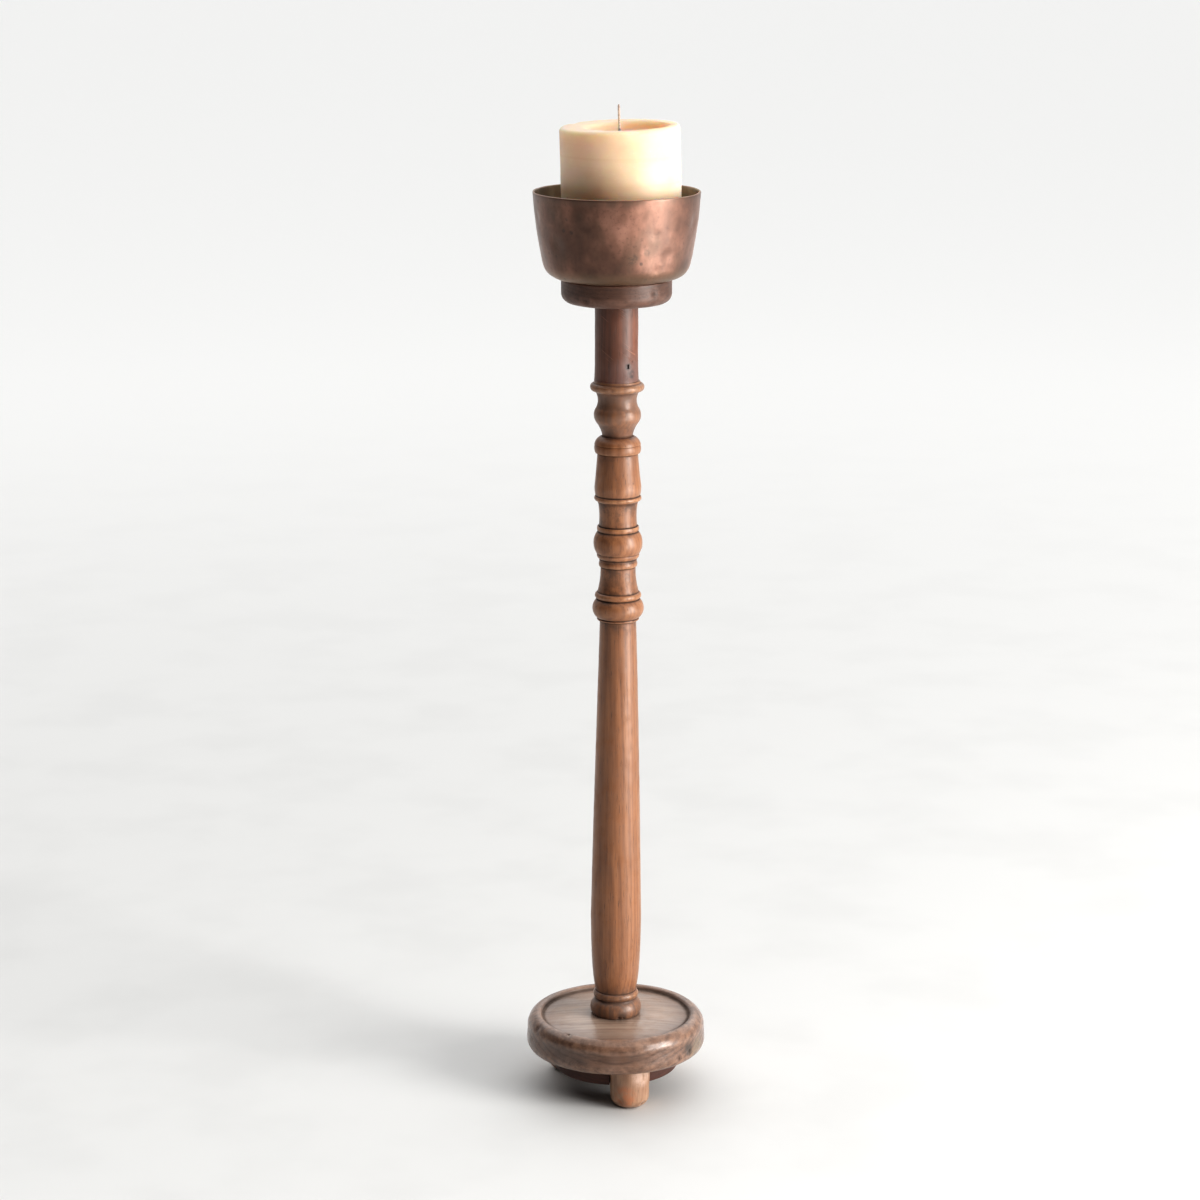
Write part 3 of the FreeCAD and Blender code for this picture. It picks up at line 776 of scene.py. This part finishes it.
def turned_foot(name, angle):
    """One worn peg with its tenon, standing at its angle round the base."""
    low = FOOT_RADIUS - FOOT_TAPER
    inner = low - FOOT_ROUNDING
    points = outline((0, 0), [
        (inner, 0),
        round_corner((inner, FOOT_ROUNDING), FOOT_ROUNDING, -90, 0),
        (FOOT_RADIUS, base_low),
        (FOOT_TENON_RADIUS, base_low),
        (FOOT_TENON_RADIUS, base_low + FOOT_TENON_LENGTH),
        (0, base_low + FOOT_TENON_LENGTH),
    ], 0.8)
    foot = turn(name, points, 72)
    uneven(foot, 0.5, 7.0)
    knock_all(foot, [((-7, -10, 5), (0.8, 0.8, 0.4), 5.0),
                     ((9, -7, 3), (-0.8, 0.6, 0.5), 4.0)])
    foot.location = around(FOOT_CIRCLE, angle, 0)
    settle(foot)
    smooth(foot)
    measure_wear(foot)
    return foot


for node, angle in FOOT_TURNS.items():
    foot = turned_foot("turned_" + node, angle)
    finish_piece(foot, "stand", "foot_wood", foot_wood, node)


# %% [markdown]
# ## The neck
# The neck is a plain sleeve that flares at its foot, dark and well handled. It is nailed to
# the spindle's tenon with one flat brad, so the brad's slot is cut and the CAD file's brad
# lies in it, a little sunk. Hands grip the stick here, so this is where it is scratched.

# %% Turn the neck
NECK_RADIUS = 13.95
NECK_FOOT = 14.5
NECK_FLARE = 9.0
NECK_FLARE_BOW = 0.16
NECK_TOP_GAP = 3.5  # room for the bowl's dimple above the neck's tenon
NECK_BORE = TOP_TENON + GLUE_GAP
NECK_BORE_DEPTH = 29.0
BRAD_WIDTH, BRAD_HEIGHT = 1.4, 2.9
BRAD_SLOT_DEPTH = 8.0
block_low, block_high = (corner.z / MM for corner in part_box("cup_block"))
brad_low, brad_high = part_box("neck_brad")
brad_height = (brad_low.z + brad_high.z) / 2 / MM
BRAD_TURN = -57


def turned_neck():
    roof = neck_foot + NECK_BORE_DEPTH
    points = outline((NECK_BORE, neck_foot), [
        (NECK_FOOT, neck_foot),
        (NECK_RADIUS + NECK_FLARE_BOW, neck_foot + NECK_FLARE / 2,
         NECK_RADIUS, neck_foot + NECK_FLARE),
        (NECK_RADIUS, block_low),
        (TOP_TENON, block_low),
        (TOP_TENON, block_high - NECK_TOP_GAP),
        (0, block_high - NECK_TOP_GAP),
        (0, roof),
        (NECK_BORE, roof),
        (NECK_BORE, neck_foot),
    ], 0.9)
    neck = turn("turned_neck", points, 96)
    uneven(neck, 0.3, 9.0)
    return neck


def brad_slot(neck):
    """Cuts the slot that the brad lies in."""
    deselect()
    bpy.ops.mesh.primitive_cube_add(size=1,
                                    location=around(NECK_RADIUS, BRAD_TURN, brad_height))
    slot = bpy.context.object
    slot.scale = (BRAD_SLOT_DEPTH * MM, BRAD_WIDTH * MM, BRAD_HEIGHT * MM)
    slot.rotation_euler = (0, 0, math.radians(BRAD_TURN))
    cut(neck, settle(slot))


neck = turned_neck()
knock(neck, (10.5, -9.0, brad_height + 2.5), (-0.35, 0.3, 0), 2.2)
brad_slot(neck)
smooth(neck)
measure_wear(neck)
brad_spot = around(NECK_RADIUS, BRAD_TURN, brad_height) / MM
neck_wood = wood("neck_wood", pale=tone(126, 78, 56), deep=tone(72, 42, 29),
                 dirt=tone(30, 18, 13), rubbed=tone(156, 108, 84), heart=(-18, 26),
                 ring_gap=2.0, figure=0.6, clouds=0.6, scratches=1.0, polish=0.6, wax=0.4,
                 gloss=0.46,
                 marks=[((5, -6, neck_foot), 21.0, tone(104, 78, 72), 0.75),
                        (tuple(brad_spot), 3.0, tone(26, 18, 16), 0.8),
                        ((9, -10, brad_height - 5), 4.0, tone(44, 32, 30), 0.8),
                        # Painted shadow: the top of the neck is darkened just under the cup
                        # block, where the block's shade falls.
                        ((0, 0, block_low), 19.0, tone(54, 34, 28), 0.7)])
finish_piece(neck, "stand", "neck_wood", neck_wood, "neck_sleeve")

# %% [markdown]
# ## The cup block
# The block is a thick round plate that spreads the load of the bowl. Its lower edge is
# turned to a quarter round, and its upper edge is just broken. The grain lies across it, as
# in the base, because a short plate cut the other way would split along its bore.

# %% Turn the cup block
BOWL_FLOOR_RADIUS = 35.0
BLOCK_RADIUS = BOWL_FLOOR_RADIUS + 0.4
BLOCK_UNDER = 6.5
BLOCK_EDGE = 1.0


def turned_block():
    bore = TOP_TENON + GLUE_GAP
    middle = BLOCK_RADIUS - BLOCK_UNDER
    points = outline((bore, block_low), [
        (middle, block_low),
        round_corner((middle, block_low + BLOCK_UNDER), BLOCK_UNDER, -90, 0),
        (BLOCK_RADIUS, block_high - BLOCK_EDGE),
        round_corner((BLOCK_RADIUS - BLOCK_EDGE, block_high - BLOCK_EDGE), BLOCK_EDGE, 0, 90),
        (bore, block_high),
        (bore, block_low),
    ], 1.0)
    block = turn("turned_block", points, 128)
    uneven(block, 0.3, 12.0)
    return block


block = turned_block()
knock_all(block, [((-20, -29, block_low + 5), (0.4, 0.6, 0.2), 4.0),
                  ((24, -26, block_low + 9), (-0.4, 0.4, 0), 4.0)])
smooth(block)
measure_wear(block)
block_wood = wood("block_wood", pale=tone(100, 70, 56), deep=tone(60, 40, 31),
                  dirt=tone(26, 18, 15), rubbed=tone(136, 102, 86), lie=(0, 90, 12),
                  heart=(-50, 18), ring_gap=2.8, figure=0.55, clouds=0.7, polish=0.3, gloss=0.42)
finish_piece(block, "stand", "block_wood", block_wood, "cup_block")


# %% [markdown]
# ## The copper bowl
# The bowl is raised from one sheet, so its wall has one thickness all over, a soft corner
# and a slightly bowed side. It could be a shell with Solidify, but turning the inside and
# the outside as one closed outline also gives the rounded rim and the dimple of its screw.
# Old sheet shows its dents in the highlight long before they show in the outline, so the
# dents are real shape: a slow unevenness, and ten knocks.

# %% Turn the bowl and dent it
BOWL_RIM_RADIUS = 53.1
BOWL_CORNER = 12.0
BOWL_SWELL = 0.9
BOWL_WALL = 1.4
RIM_STARTS = 0.985      # as a share of the side, where its edge begins to round
SCREW_HOLE, SCREW_SEAT = 2.05, 4.25
DENT_RADIUS = BOWL_FLOOR_RADIUS + 13.5
bowl_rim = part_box("copper_bowl")[1].z / MM
bowl_floor = block_high + BOWL_WALL


def bowl_side(share, inset, lean):
    """A point of the side: share 0 is at the corner and 1 at the rim, inset is inwards."""
    low_r = BOWL_FLOOR_RADIUS + BOWL_CORNER * math.cos(lean)
    low_z = block_high + BOWL_CORNER * (1 - math.sin(lean))
    r = low_r + (BOWL_RIM_RADIUS - low_r) * share + BOWL_SWELL * 4 * share * (1 - share)
    z = low_z + (bowl_rim - low_z) * share
    return r - inset * math.cos(lean), z + inset * math.sin(lean) * (1 - share)


def turned_bowl():
    """Both skins of the bowl in one outline: up the outside, over the rim and down inside."""
    centre = (BOWL_FLOOR_RADIUS, block_high + BOWL_CORNER)
    lean = math.atan2(BOWL_RIM_RADIUS - centre[0] - BOWL_CORNER + 4 * BOWL_SWELL,
                      bowl_rim - centre[1])
    angle = math.degrees(lean)
    inner = BOWL_CORNER - BOWL_WALL
    dimple = bowl_floor - (SCREW_SEAT - SCREW_HOLE)
    spread = BOWL_WALL * math.tan(math.radians(67.5))
    rim_out = bowl_side(RIM_STARTS, 0, lean)
    rim_in = bowl_side(RIM_STARTS, BOWL_WALL, lean)
    points = outline((SCREW_HOLE, dimple), [
        (SCREW_HOLE + BOWL_WALL / 2, dimple - BOWL_WALL),
        (SCREW_SEAT + spread, block_high),
        (BOWL_FLOOR_RADIUS, block_high),
        round_corner(centre, BOWL_CORNER, -90, -angle),
        (*bowl_side(0.5, 0, lean), *rim_out),
        ((rim_out[0] + rim_in[0]) / 2, bowl_rim, *rim_in),
        (*bowl_side(0.5, BOWL_WALL, lean), BOWL_FLOOR_RADIUS + inner * math.cos(lean),
         centre[1] - inner * math.sin(lean)),
        round_corner(centre, inner, -angle, -90),
        (SCREW_SEAT, bowl_floor),
        (SCREW_HOLE, dimple),
    ], 1.1)
    return turn("turned_bowl", points, 180)


def dent(piece, angle, height, depth, reach):
    """A dent in the side, pushed towards the axis. Both skins move, as sheet does."""
    inward = around(depth, angle + 180, 0) / MM
    knock(piece, around(DENT_RADIUS, angle, height) / MM, inward, reach)


def tell_sides(piece):
    """Stores 1 on the skin that faces away from the bowl's hollow, and 0 on the other."""
    layer = piece.data.attributes.new("outside", "FLOAT", "POINT")
    for vertex, value in zip(piece.data.vertices, layer.data):
        outwards = Vector((vertex.co.x, vertex.co.y, 0)).normalized()
        value.value = 1.0 if vertex.normal.dot(outwards) - vertex.normal.z > 0 else 0.0


bowl = turned_bowl()
uneven(bowl, 0.55, 17.0, inward=False)
DENTS = [
    # angle, distance below the rim, depth, reach
    (-62, 22, 0.55, 6.0), (-50, 36, 0.5, 7.0), (-58, 46, 0.45, 5.0), (-112, 16, 0.5, 5.0),
    (-138, 30, 0.6, 9.0), (-20, 18, 0.5, 8.0), (35, 28, 0.8, 10.0), (88, 20, 0.5, 7.0),
    (140, 34, 0.7, 9.0), (-165, 14, 0.5, 6.0),
]
for angle, below_rim, depth, reach in DENTS:
    dent(bowl, angle, bowl_rim - below_rim, depth, reach)
smooth(bowl, 50)
tell_sides(bowl)
print("bowl:", len(DENTS), "dents,", len(bowl.data.polygons), "faces")


# %% [markdown]
# ## Old copper
# Polished copper is pink and mirror-like. Here it has gone brown under a thin patina: the
# colour is clouded, drops have left dark rings and spots, and handling keeps the very edge
# of the rim brighter. The metal stays metal, so its look comes mostly from how rough it is
# and how the dents bend the light. The inside has hardly been wiped, so it is olive
# brown and duller. A number stored on each point tells the inside from the outside.

# %% The copper finish
WATER_MARKS = [
    # angle, distance below the rim, radius, strength
    (-78, 37, 4.5, 0.9), (-68, 33, 3.0, 0.8), (-55, 20, 2.0, 0.8), (-66, 52, 6.0, 0.7),
]


def patina(f, drift, fine):
    """The clouded brown of the old sheet, and the noise that clouds it."""
    cloud = f.noise(f.here((30, 30, 22)), 1.0, 4.0, 0.6)
    colour = f.add("ValToRGB", {"stops": [
        (0.30, tone(84, 57, 44)), (0.45, tone(110, 77, 61)), (0.57, tone(138, 100, 83)),
        (0.72, tone(170, 128, 110))]}, {0: cloud})
    colour = f.blend(colour, tone(92, 72, 56), drift.between(0.5, 0.72) * 0.5)
    return f.blend(colour, tone(74, 50, 40), fine.between(0.52, 0.75) * 0.35), cloud


def drops(f, place):
    """Where single drops have dried: as rings, and as smaller spots."""
    cells = f.add("TexVoronoi", None, {"Vector": place, "Scale": 62.0}, output="Distance")
    chosen = f.noise(place, 24.0, 1.0).between(0.54, 0.6)
    ring = cells.between(0.2, 0.27) * (1 - cells.between(0.27, 0.36)) * chosen
    dots = f.add("TexVoronoi", None, {"Vector": place, "Scale": 150.0}, output="Distance")
    few = f.noise(place, 45.0, 1.0).between(0.56, 0.62)
    return ring, (1 - dots.between(0.12, 0.24)) * few


def old_copper():
    """Patina outside, bare olive brown inside, and bright wear along the rim."""
    f = Finish("old_copper")
    place, height = f.here(), f.height()
    outside = f.stored("outside")
    drift = f.noise(f.here((75, 75, 30)), 1.0, 3.0, 0.6)
    fine = f.noise(place, 420.0, 3.0, 0.65)
    brushed = f.noise(f.here((60, 60, 2600)), 1.0, 2.0)
    ring, spot = drops(f, place)

    colour, cloud = patina(f, drift, fine)
    colour = f.blend(colour, tone(72, 54, 44), ring * 0.4)
    colour = f.blend(colour, tone(70, 52, 42), spot * 0.45)
    top = height.between(bowl_rim - 7, bowl_rim - 1)
    foot = 1 - height.between(block_high + 2, block_high + 11)
    colour = f.blend(colour, tone(104, 80, 66), top * drift.between(0.3, 0.6) * 0.75)
    colour = f.blend(colour, tone(136, 112, 84), foot * 0.5)
    for angle, below_rim, radius, strength in WATER_MARKS:
        mark = f.spot(around(DENT_RADIUS, angle, bowl_rim - below_rim) / MM, radius)
        ragged = mark * strength * fine.between(0.3, 0.55) * 0.6
        colour = f.blend(colour, tone(78, 66, 54), ragged)

    inner = f.blend(tone(172, 156, 134), tone(124, 110, 92), cloud.between(0.35, 0.65))
    colour = f.blend(inner, colour, outside)
    edge = height.between(bowl_rim - 0.9, bowl_rim - 0.35)
    colour = f.blend(colour, tone(170, 138, 118), edge * 0.5)

    dull = drift * 0.25 + fine * 0.16
    f.set(Base_Color=colour, Metallic=0.35 + outside * 0.55 - spot * 0.3 - ring * 0.2,
          Roughness=0.27 + dull + (1 - outside) * 0.2 + spot * 0.25 + foot * 0.1)
    f.set(IOR=1.5, Coat_Weight=1.0, Coat_Roughness=0.4)
    f.relief(fine * 0.5 + brushed * 0.25 - spot * 0.8 - ring * 0.5, 0.1)
    return f.material


finish_piece(bowl, "stand", "copper", old_copper(), "copper_bowl")
print(len(WATER_MARKS), "water marks on the copper")


# %% [markdown]
# ## The candle
# The candle is a plain pillar, but its top says that it has burned: a hollow has melted
# off the middle, inside a standing rim, and wax has crept up the wick. The hollow is turned
# round and then pushed sideways with proportional editing. The candle leans in the bowl. Its
# foot and its lean are read from the CAD wick's box, whose corners hold the two ends.

# %% Turn the candle
CANDLE_RADIUS = 38.1
CANDLE_FOOT_BEVEL = 2.0
CANDLE_LIP = 2.6
MELT_RADIUS = 25.0
MELT_DEPTH = 8.0
MELT_SHIFT = 5.5
MELT_TURN = 20
CREEP = 6.0
wick_low, wick_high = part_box("candle_wick")
WICK_RADIUS = 0.75
WICK_ABOVE = 13.0


def ends_of_wick():
    """The middles of the wick's two ends. It leans away from the turn's direction."""
    margin = Vector((WICK_RADIUS, WICK_RADIUS, 0)) * MM
    foot = Vector((wick_high.x, wick_high.y, wick_low.z)) - margin
    tip = Vector((wick_low.x, wick_low.y, wick_high.z)) + margin
    return foot, tip


candle_foot, wick_tip = ends_of_wick()
candle_axis = (wick_tip - candle_foot).normalized()
candle_height = (wick_tip - candle_foot).length / MM - WICK_ABOVE
candle_lean = math.degrees(candle_axis.angle((0, 0, 1)))
print(f"candle {candle_height:.1f} mm tall, leaning {candle_lean:.2f} degrees")


def stood_in_bowl(piece):
    """Leans an upright piece as the candle leans, and sets it on the candle's foot."""
    piece.rotation_mode = "QUATERNION"
    piece.rotation_quaternion = Vector((0, 0, 1)).rotation_difference(candle_axis)
    piece.location = candle_foot
    return settle(piece)


def turned_candle():
    """The pillar with its melted hollow, round a bore for the wick."""
    top = candle_height
    pool = top - MELT_DEPTH
    bore = WICK_RADIUS * 0.7
    points = outline((bore, 0), [
        (CANDLE_RADIUS - CANDLE_FOOT_BEVEL, 0),
        round_corner((CANDLE_RADIUS - CANDLE_FOOT_BEVEL, CANDLE_FOOT_BEVEL),
                     CANDLE_FOOT_BEVEL, -90, 0),
        (CANDLE_RADIUS, top - CANDLE_LIP),
        round_corner((CANDLE_RADIUS - CANDLE_LIP, top - CANDLE_LIP), CANDLE_LIP, 0, 90),
        (MELT_RADIUS + 5.0, top - 0.4),
        (MELT_RADIUS + 1.6, top - 0.9, MELT_RADIUS, top - 2.6),
        (MELT_RADIUS - 3.0, pool + 1.3, MELT_RADIUS - 8.0, pool + 0.2),
        (9.0, pool),
        (4.0, pool + 0.6, 2.4, pool + 2.4),
        (1.7, pool + CREEP - 1.2),
        (bore, pool + CREEP),
        (bore, 0),
    ], 1.2)
    return turn("turned_candle", points, 144)


def slide_hollow(candle):
    """Pushes the melted hollow off the middle, towards one side."""
    inside = MELT_RADIUS + 1.5
    floor = candle_height - MELT_DEPTH - 1
    select_points(candle, lambda p: 12 < math.hypot(p.x, p.y) / MM < inside
                  and p.z / MM > floor)
    bpy.ops.transform.translate(value=around(MELT_SHIFT, MELT_TURN, 0),
                                use_proportional_edit=True, use_proportional_connected=True,
                                proportional_edit_falloff="SMOOTH",
                                proportional_size=8.5 * MM)
    bpy.ops.object.mode_set(mode="OBJECT")


candle = turned_candle()
slide_hollow(candle)
uneven(candle, 0.35, 22.0)
knock_all(candle, [((-30, 22, candle_height), (0.2, -0.2, -0.5), 7.0),
                   ((14, -33, candle_height), (0, 0.2, -0.35), 8.0)])
stood_in_bowl(candle)
smooth(candle, 60)
measure_wear(candle)


# %% [markdown]
# ## Wax
# Wax glows because light enters it, wanders and comes out warmer somewhere else. That is
# subsurface scattering, and no paint can copy it. The shader's radius is longest in red,
# so the shaded side turns golden. The surface itself has faint pour rings, a bloom of pale
# specks and small scuffs.

# %% The wax finish
def candle_wax():
    """Pale warm wax that light goes into."""
    f = Finish("candle_wax")
    place = f.here()
    cloud = f.noise(f.here((26, 26, 40)), 1.0, 3.0, 0.6)
    pour = f.noise(f.here((8, 8, 300)), 1.0, 2.0, 0.6)
    bloom = f.noise(place, 650.0, 2.0, 0.6)
    scuff = f.noise(f.here((90, 90, 420), (24, 10, 0)), 1.0, 3.0, 0.7)
    colour = f.blend(tone(232, 213, 190), tone(227, 205, 178), cloud.between(0.35, 0.7))
    colour = f.blend(colour, tone(220, 196, 166), pour.between(0.5, 0.72) * 0.3)
    colour = f.blend(colour, tone(238, 222, 200), bloom.between(0.6, 0.78) * 0.4)
    f.set(Base_Color=colour, Roughness=0.42 + scuff * 0.22 - cloud * 0.08)
    f.set(Subsurface_Weight=1.0, Subsurface_Radius=(1.0, 0.64, 0.42),
          Subsurface_Scale=22.0 * MM, Subsurface_Anisotropy=0.7, IOR=1.44)
    f.relief(pour * 0.5 + bloom * 0.15 + scuff * 0.4, 0.14)
    return f.material


finish_piece(candle, "candle", "wax", candle_wax(), "candle_wax")

# %% [markdown]
# ## The wick
# A wick is a braid, and even at a millimetre and a half the eye knows a braid from a rod.
# Its section is a three-lobed ring, which is drawn up in short steps and turned a little at
# each, so the lobes wind round as strands do. Below the wax it is one long plain step.

# %% Braid the wick
STRANDS = 3
POINTS_PER_STRAND = 8
LOBE_DEPTH = 0.14   # as a share of the radius
BRAID_STEP = 0.4
BRAID_TURN = 17.0
TIP_STEPS, TIP_SHRINK = 3, 0.82
TIP_GAP = 0.1       # the tip stays this much below the CAD wick's
wick_length = candle_height + WICK_ABOVE - TIP_GAP


def lobed_ring(radius):
    """A ring whose radius swells once for each strand."""
    deselect()
    count = STRANDS * POINTS_PER_STRAND
    bpy.ops.mesh.primitive_circle_add(vertices=count, radius=radius * MM, fill_type="NGON",
                                      location=(0, 0, 0))
    ring = bpy.context.object
    for corner in ring.data.vertices:
        turned = math.atan2(corner.co.y, corner.co.x)
        corner.co *= 1 - LOBE_DEPTH + LOBE_DEPTH * abs(math.cos(turned * STRANDS / 2))
    return ring


def twist_up(height, angle, shrink=1.0):
    """Draws the ring up by a height, and turns and shrinks its new end."""
    bpy.ops.mesh.extrude_region_move(TRANSFORM_OT_translate={"value": (0, 0, height * MM)})
    bpy.ops.transform.rotate(value=math.radians(angle), orient_axis="Z",
                             center_override=(0, 0, 0))
    if shrink != 1.0:
        bpy.ops.transform.resize(value=(shrink, shrink, 1), center_override=(0, 0, 0))


def braided_wick():
    """The wick's ring, drawn up plain below the wax and twisted above it."""
    wick = lobed_ring(WICK_RADIUS)
    wick.name = wick.data.name = "braided_wick"
    braided = WICK_ABOVE + MELT_DEPTH + 4
    edit(wick)
    bpy.ops.mesh.select_mode(type="FACE")
    bpy.ops.mesh.select_all(action="SELECT")
    twist_up(wick_length - braided, 0)
    steps = int(braided / BRAID_STEP)
    for i in range(steps):
        tip = i >= steps - TIP_STEPS
        twist_up(braided / steps, BRAID_TURN, TIP_SHRINK if tip else 1.0)
    bpy.ops.mesh.select_all(action="SELECT")
    bpy.ops.mesh.normals_make_consistent(inside=False)
    bpy.ops.object.mode_set(mode="OBJECT")
    return wick


def wick_cotton():
    """Fine pale threads, a little darker towards the tip."""
    f = Finish("wick_cotton")
    thread = f.noise(f.here((2600, 2600, 900), (18, 0, 0)), 1.0, 2.0)
    tip = f.height().between(wick_high.z / MM - 5, wick_high.z / MM)
    colour = f.blend(tone(240, 224, 212), tone(204, 180, 166), thread.between(0.35, 0.65))
    colour = f.blend(colour, tone(176, 156, 146), tip * 0.6)
    f.set(Base_Color=colour, Roughness=0.75 + thread * 0.15)
    f.set(Sheen_Weight=0.25)
    f.relief(thread, 0.05)
    return f.material


wick = stood_in_bowl(braided_wick())
smooth(wick, 50)
finish_piece(wick, "candle", "wick", wick_cotton(), "candle_wick")
print("wick faces:", len(wick.data.polygons), "top at", round(wick_high.z / MM, 1))


# %% [markdown]
# ## Screws, washer and brad
# The small steel and brass pieces already have the right shape in the CAD file, so they stay
# and only get a finish. Old iron in wood goes nearly black, with brown rust where it is
# rough, old steel stays a darker grey, and brass goes a dull yellow.

# %% The small metal finishes
def small_metal(name, bright, dark, rust, rust_share, rough):
    """A clouded, pitted metal with faint lathe lines. Rust is less metallic."""
    f = Finish(name)
    place = f.here()
    cloud = f.noise(place, 260.0, 4.0, 0.65)
    pit = f.noise(place, 1400.0, 2.0, 0.6)
    turned_lines = f.noise(f.here((300, 300, 5200)), 1.0, 1.0)
    rusty = cloud.between(0.5, 0.68) * rust_share
    colour = f.blend(bright, dark, cloud.between(0.35, 0.6))
    colour = f.blend(colour, rust, rusty)
    colour = f.blend(colour, dark, pit.between(0.6, 0.75) * 0.6)
    f.set(Base_Color=colour, Metallic=1.0 - rusty * 0.8, Roughness=rough + cloud * 0.3)
    f.relief(pit * 0.6 + turned_lines * 0.4, 0.05)
    return f.material


def repaint(material, *nodes):
    """Puts a finish on pieces of the CAD file, which keep their shape."""
    for node in nodes:
        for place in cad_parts[node].material_slots:
            place.material = material
    print(material.name, "on", ", ".join(nodes))


old_steel = small_metal("old_steel", bright=tone(132, 128, 122), dark=tone(70, 64, 60),
                        rust=tone(104, 62, 40), rust_share=0.8, rough=0.32)
black_iron = small_metal("black_iron", bright=tone(52, 46, 44), dark=tone(24, 20, 19),
                         rust=tone(66, 42, 30), rust_share=0.7, rough=0.5)
dull_brass = small_metal("dull_brass", bright=tone(182, 150, 92), dark=tone(112, 88, 54),
                         rust=tone(84, 76, 54), rust_share=0.6, rough=0.3)
repaint(old_steel, "hub_screws", "stem_screw", "stem_washer")
repaint(black_iron, "neck_brad")
repaint(dull_brass, "bowl_screw")


# %% [markdown]
# ## The stage
# The stage is a pale floor and nothing else. It is far wider than the camera sees, and it
# gets paler away from the object, so that it runs into the white behind it without a line.

# %% The stage
FLOOR_RADIUS = 40.0
FLOOR_NEAR, FLOOR_FAR = 0.1, 3.0


def floor_finish():
    """Matt pale grey near the object and nearly white far away."""
    f = Finish("pale_floor")
    far = f.length(f.here()).between(FLOOR_NEAR, FLOOR_FAR)
    cloud = f.noise(f.here((9, 9, 9)), 1.0, 3.0, 0.5)
    colour = f.blend(tone(217, 217, 216), tone(213, 213, 212), cloud.between(0.4, 0.7))
    colour = f.blend(colour, tone(248, 248, 247), far)
    f.set(Base_Color=colour, Roughness=0.6, Specular_IOR_Level=0.2)
    return f.material


deselect()
bpy.ops.mesh.primitive_circle_add(vertices=96, radius=FLOOR_RADIUS, fill_type="NGON",
                                  location=(0, 0, 0))
floor = bpy.context.object
floor.name = "floor"
floor.data.materials.append(floor_finish())
print("floor", 2 * FLOOR_RADIUS, "m across")

# %% [markdown]
# ## The light
# One big soft window stands to the right and a little in front, and a very wide sun above
# keeps the floor evenly white. Brown wood and copper need something dark to reflect, or
# they turn grey, so the surroundings are bright behind the object and dim in front of it,
# as in a room with one white wall. A low card beside the window gives the bowl, whose side
# leans forwards, a light to mirror. Past the floor's edge the camera sees plain white.

# %% The light
scene = bpy.context.scene
scene.view_settings.view_transform = "Standard"
scene.view_settings.look = "High Contrast"
DIM_SIDE, WHITE_WALL, PAST_FLOOR = 0.01, 0.5, 0.84
WALL_FULL = 0.6   # how far back a direction points where the wall is fully white
LIGHTS = [
    # name, kind, place, aimed at, power, size, colour
    ("window", "AREA", (2.1, -1.05, 0.95), (0, 0, 0.35), 54, (1.15, 1.5), (1.0, 0.985, 0.96)),
    ("sky", "SUN", (0.3, 0.6, 3), (0, 0, 0), 1.6, 110, (1, 1, 1)),
    ("low_card", "AREA", (0.95, -0.55, 0.16), (0, 0, 0.57), 3.8, (0.9, 0.35), (1, 1, 1)),
]


def pale_room():
    """Surroundings that are white behind the object and dim in front of it."""
    room = bpy.data.worlds.new("pale_room")
    room.use_nodes = True
    nodes, links = room.node_tree.nodes, room.node_tree.links
    background = nodes["Background"]
    background.inputs["Color"].default_value = (1, 1, 1, 1)
    direction = nodes.new("ShaderNodeTexCoord")
    apart = nodes.new("ShaderNodeSeparateXYZ")
    links.new(direction.outputs["Generated"], apart.inputs[0])
    ramp = nodes.new("ShaderNodeMapRange")
    links.new(apart.outputs["Y"], ramp.inputs[0])
    for socket, value in zip(ramp.inputs[1:5], (0.0, WALL_FULL, DIM_SIDE, WHITE_WALL)):
        socket.default_value = value
    seen = nodes.new("ShaderNodeLightPath")
    pick = nodes.new("ShaderNodeMix")
    links.new(seen.outputs["Is Camera Ray"], pick.inputs[0])
    links.new(ramp.outputs[0], pick.inputs[2])
    pick.inputs[3].default_value = PAST_FLOOR
    links.new(pick.outputs[0], background.inputs["Strength"])
    return room


def soft_light(name, kind, place, target, power, size, colour):
    """An area light is a panel of that width and height, and a sun is as wide as an angle."""
    data = bpy.data.lights.new(name, kind)
    if kind == "SUN":
        data.angle = math.radians(size)
    else:
        data.shape = "RECTANGLE"
        data.size, data.size_y = size
    data.energy = power
    data.color = colour
    lamp = bpy.data.objects.new(name, data)
    scene.collection.objects.link(lamp)
    lamp.location = place
    lamp.rotation_euler = (Vector(target) - Vector(place)).to_track_quat("-Z", "Y").to_euler()
    lamp.visible_camera = False
    return lamp


scene.world = pale_room()
for light in LIGHTS:
    soft_light(*light)
print("lights:", ", ".join(name for name, *_ in LIGHTS))

# %% [markdown]
# ## The camera
# A long lens from two metres away keeps the spindle's sides nearly parallel. The camera
# looks slightly down, so the top of the candle and the recess of the base both show.

# %% The camera
LENS, SENSOR = 96, 36
TILT = 13.8
CAMERA_PLACE = (-0.0105, -2.015, 0.8283)
camera_data = bpy.data.cameras.new("camera")
camera_data.lens = LENS
camera_data.sensor_width = SENSOR
camera = bpy.data.objects.new("camera", camera_data)
camera.location = CAMERA_PLACE
camera.rotation_euler = (math.radians(90 - TILT), 0, 0)
scene.collection.objects.link(camera)
scene.camera = camera
print("camera", round(-CAMERA_PLACE[1], 2), "m in front, looking down", TILT, "degrees")
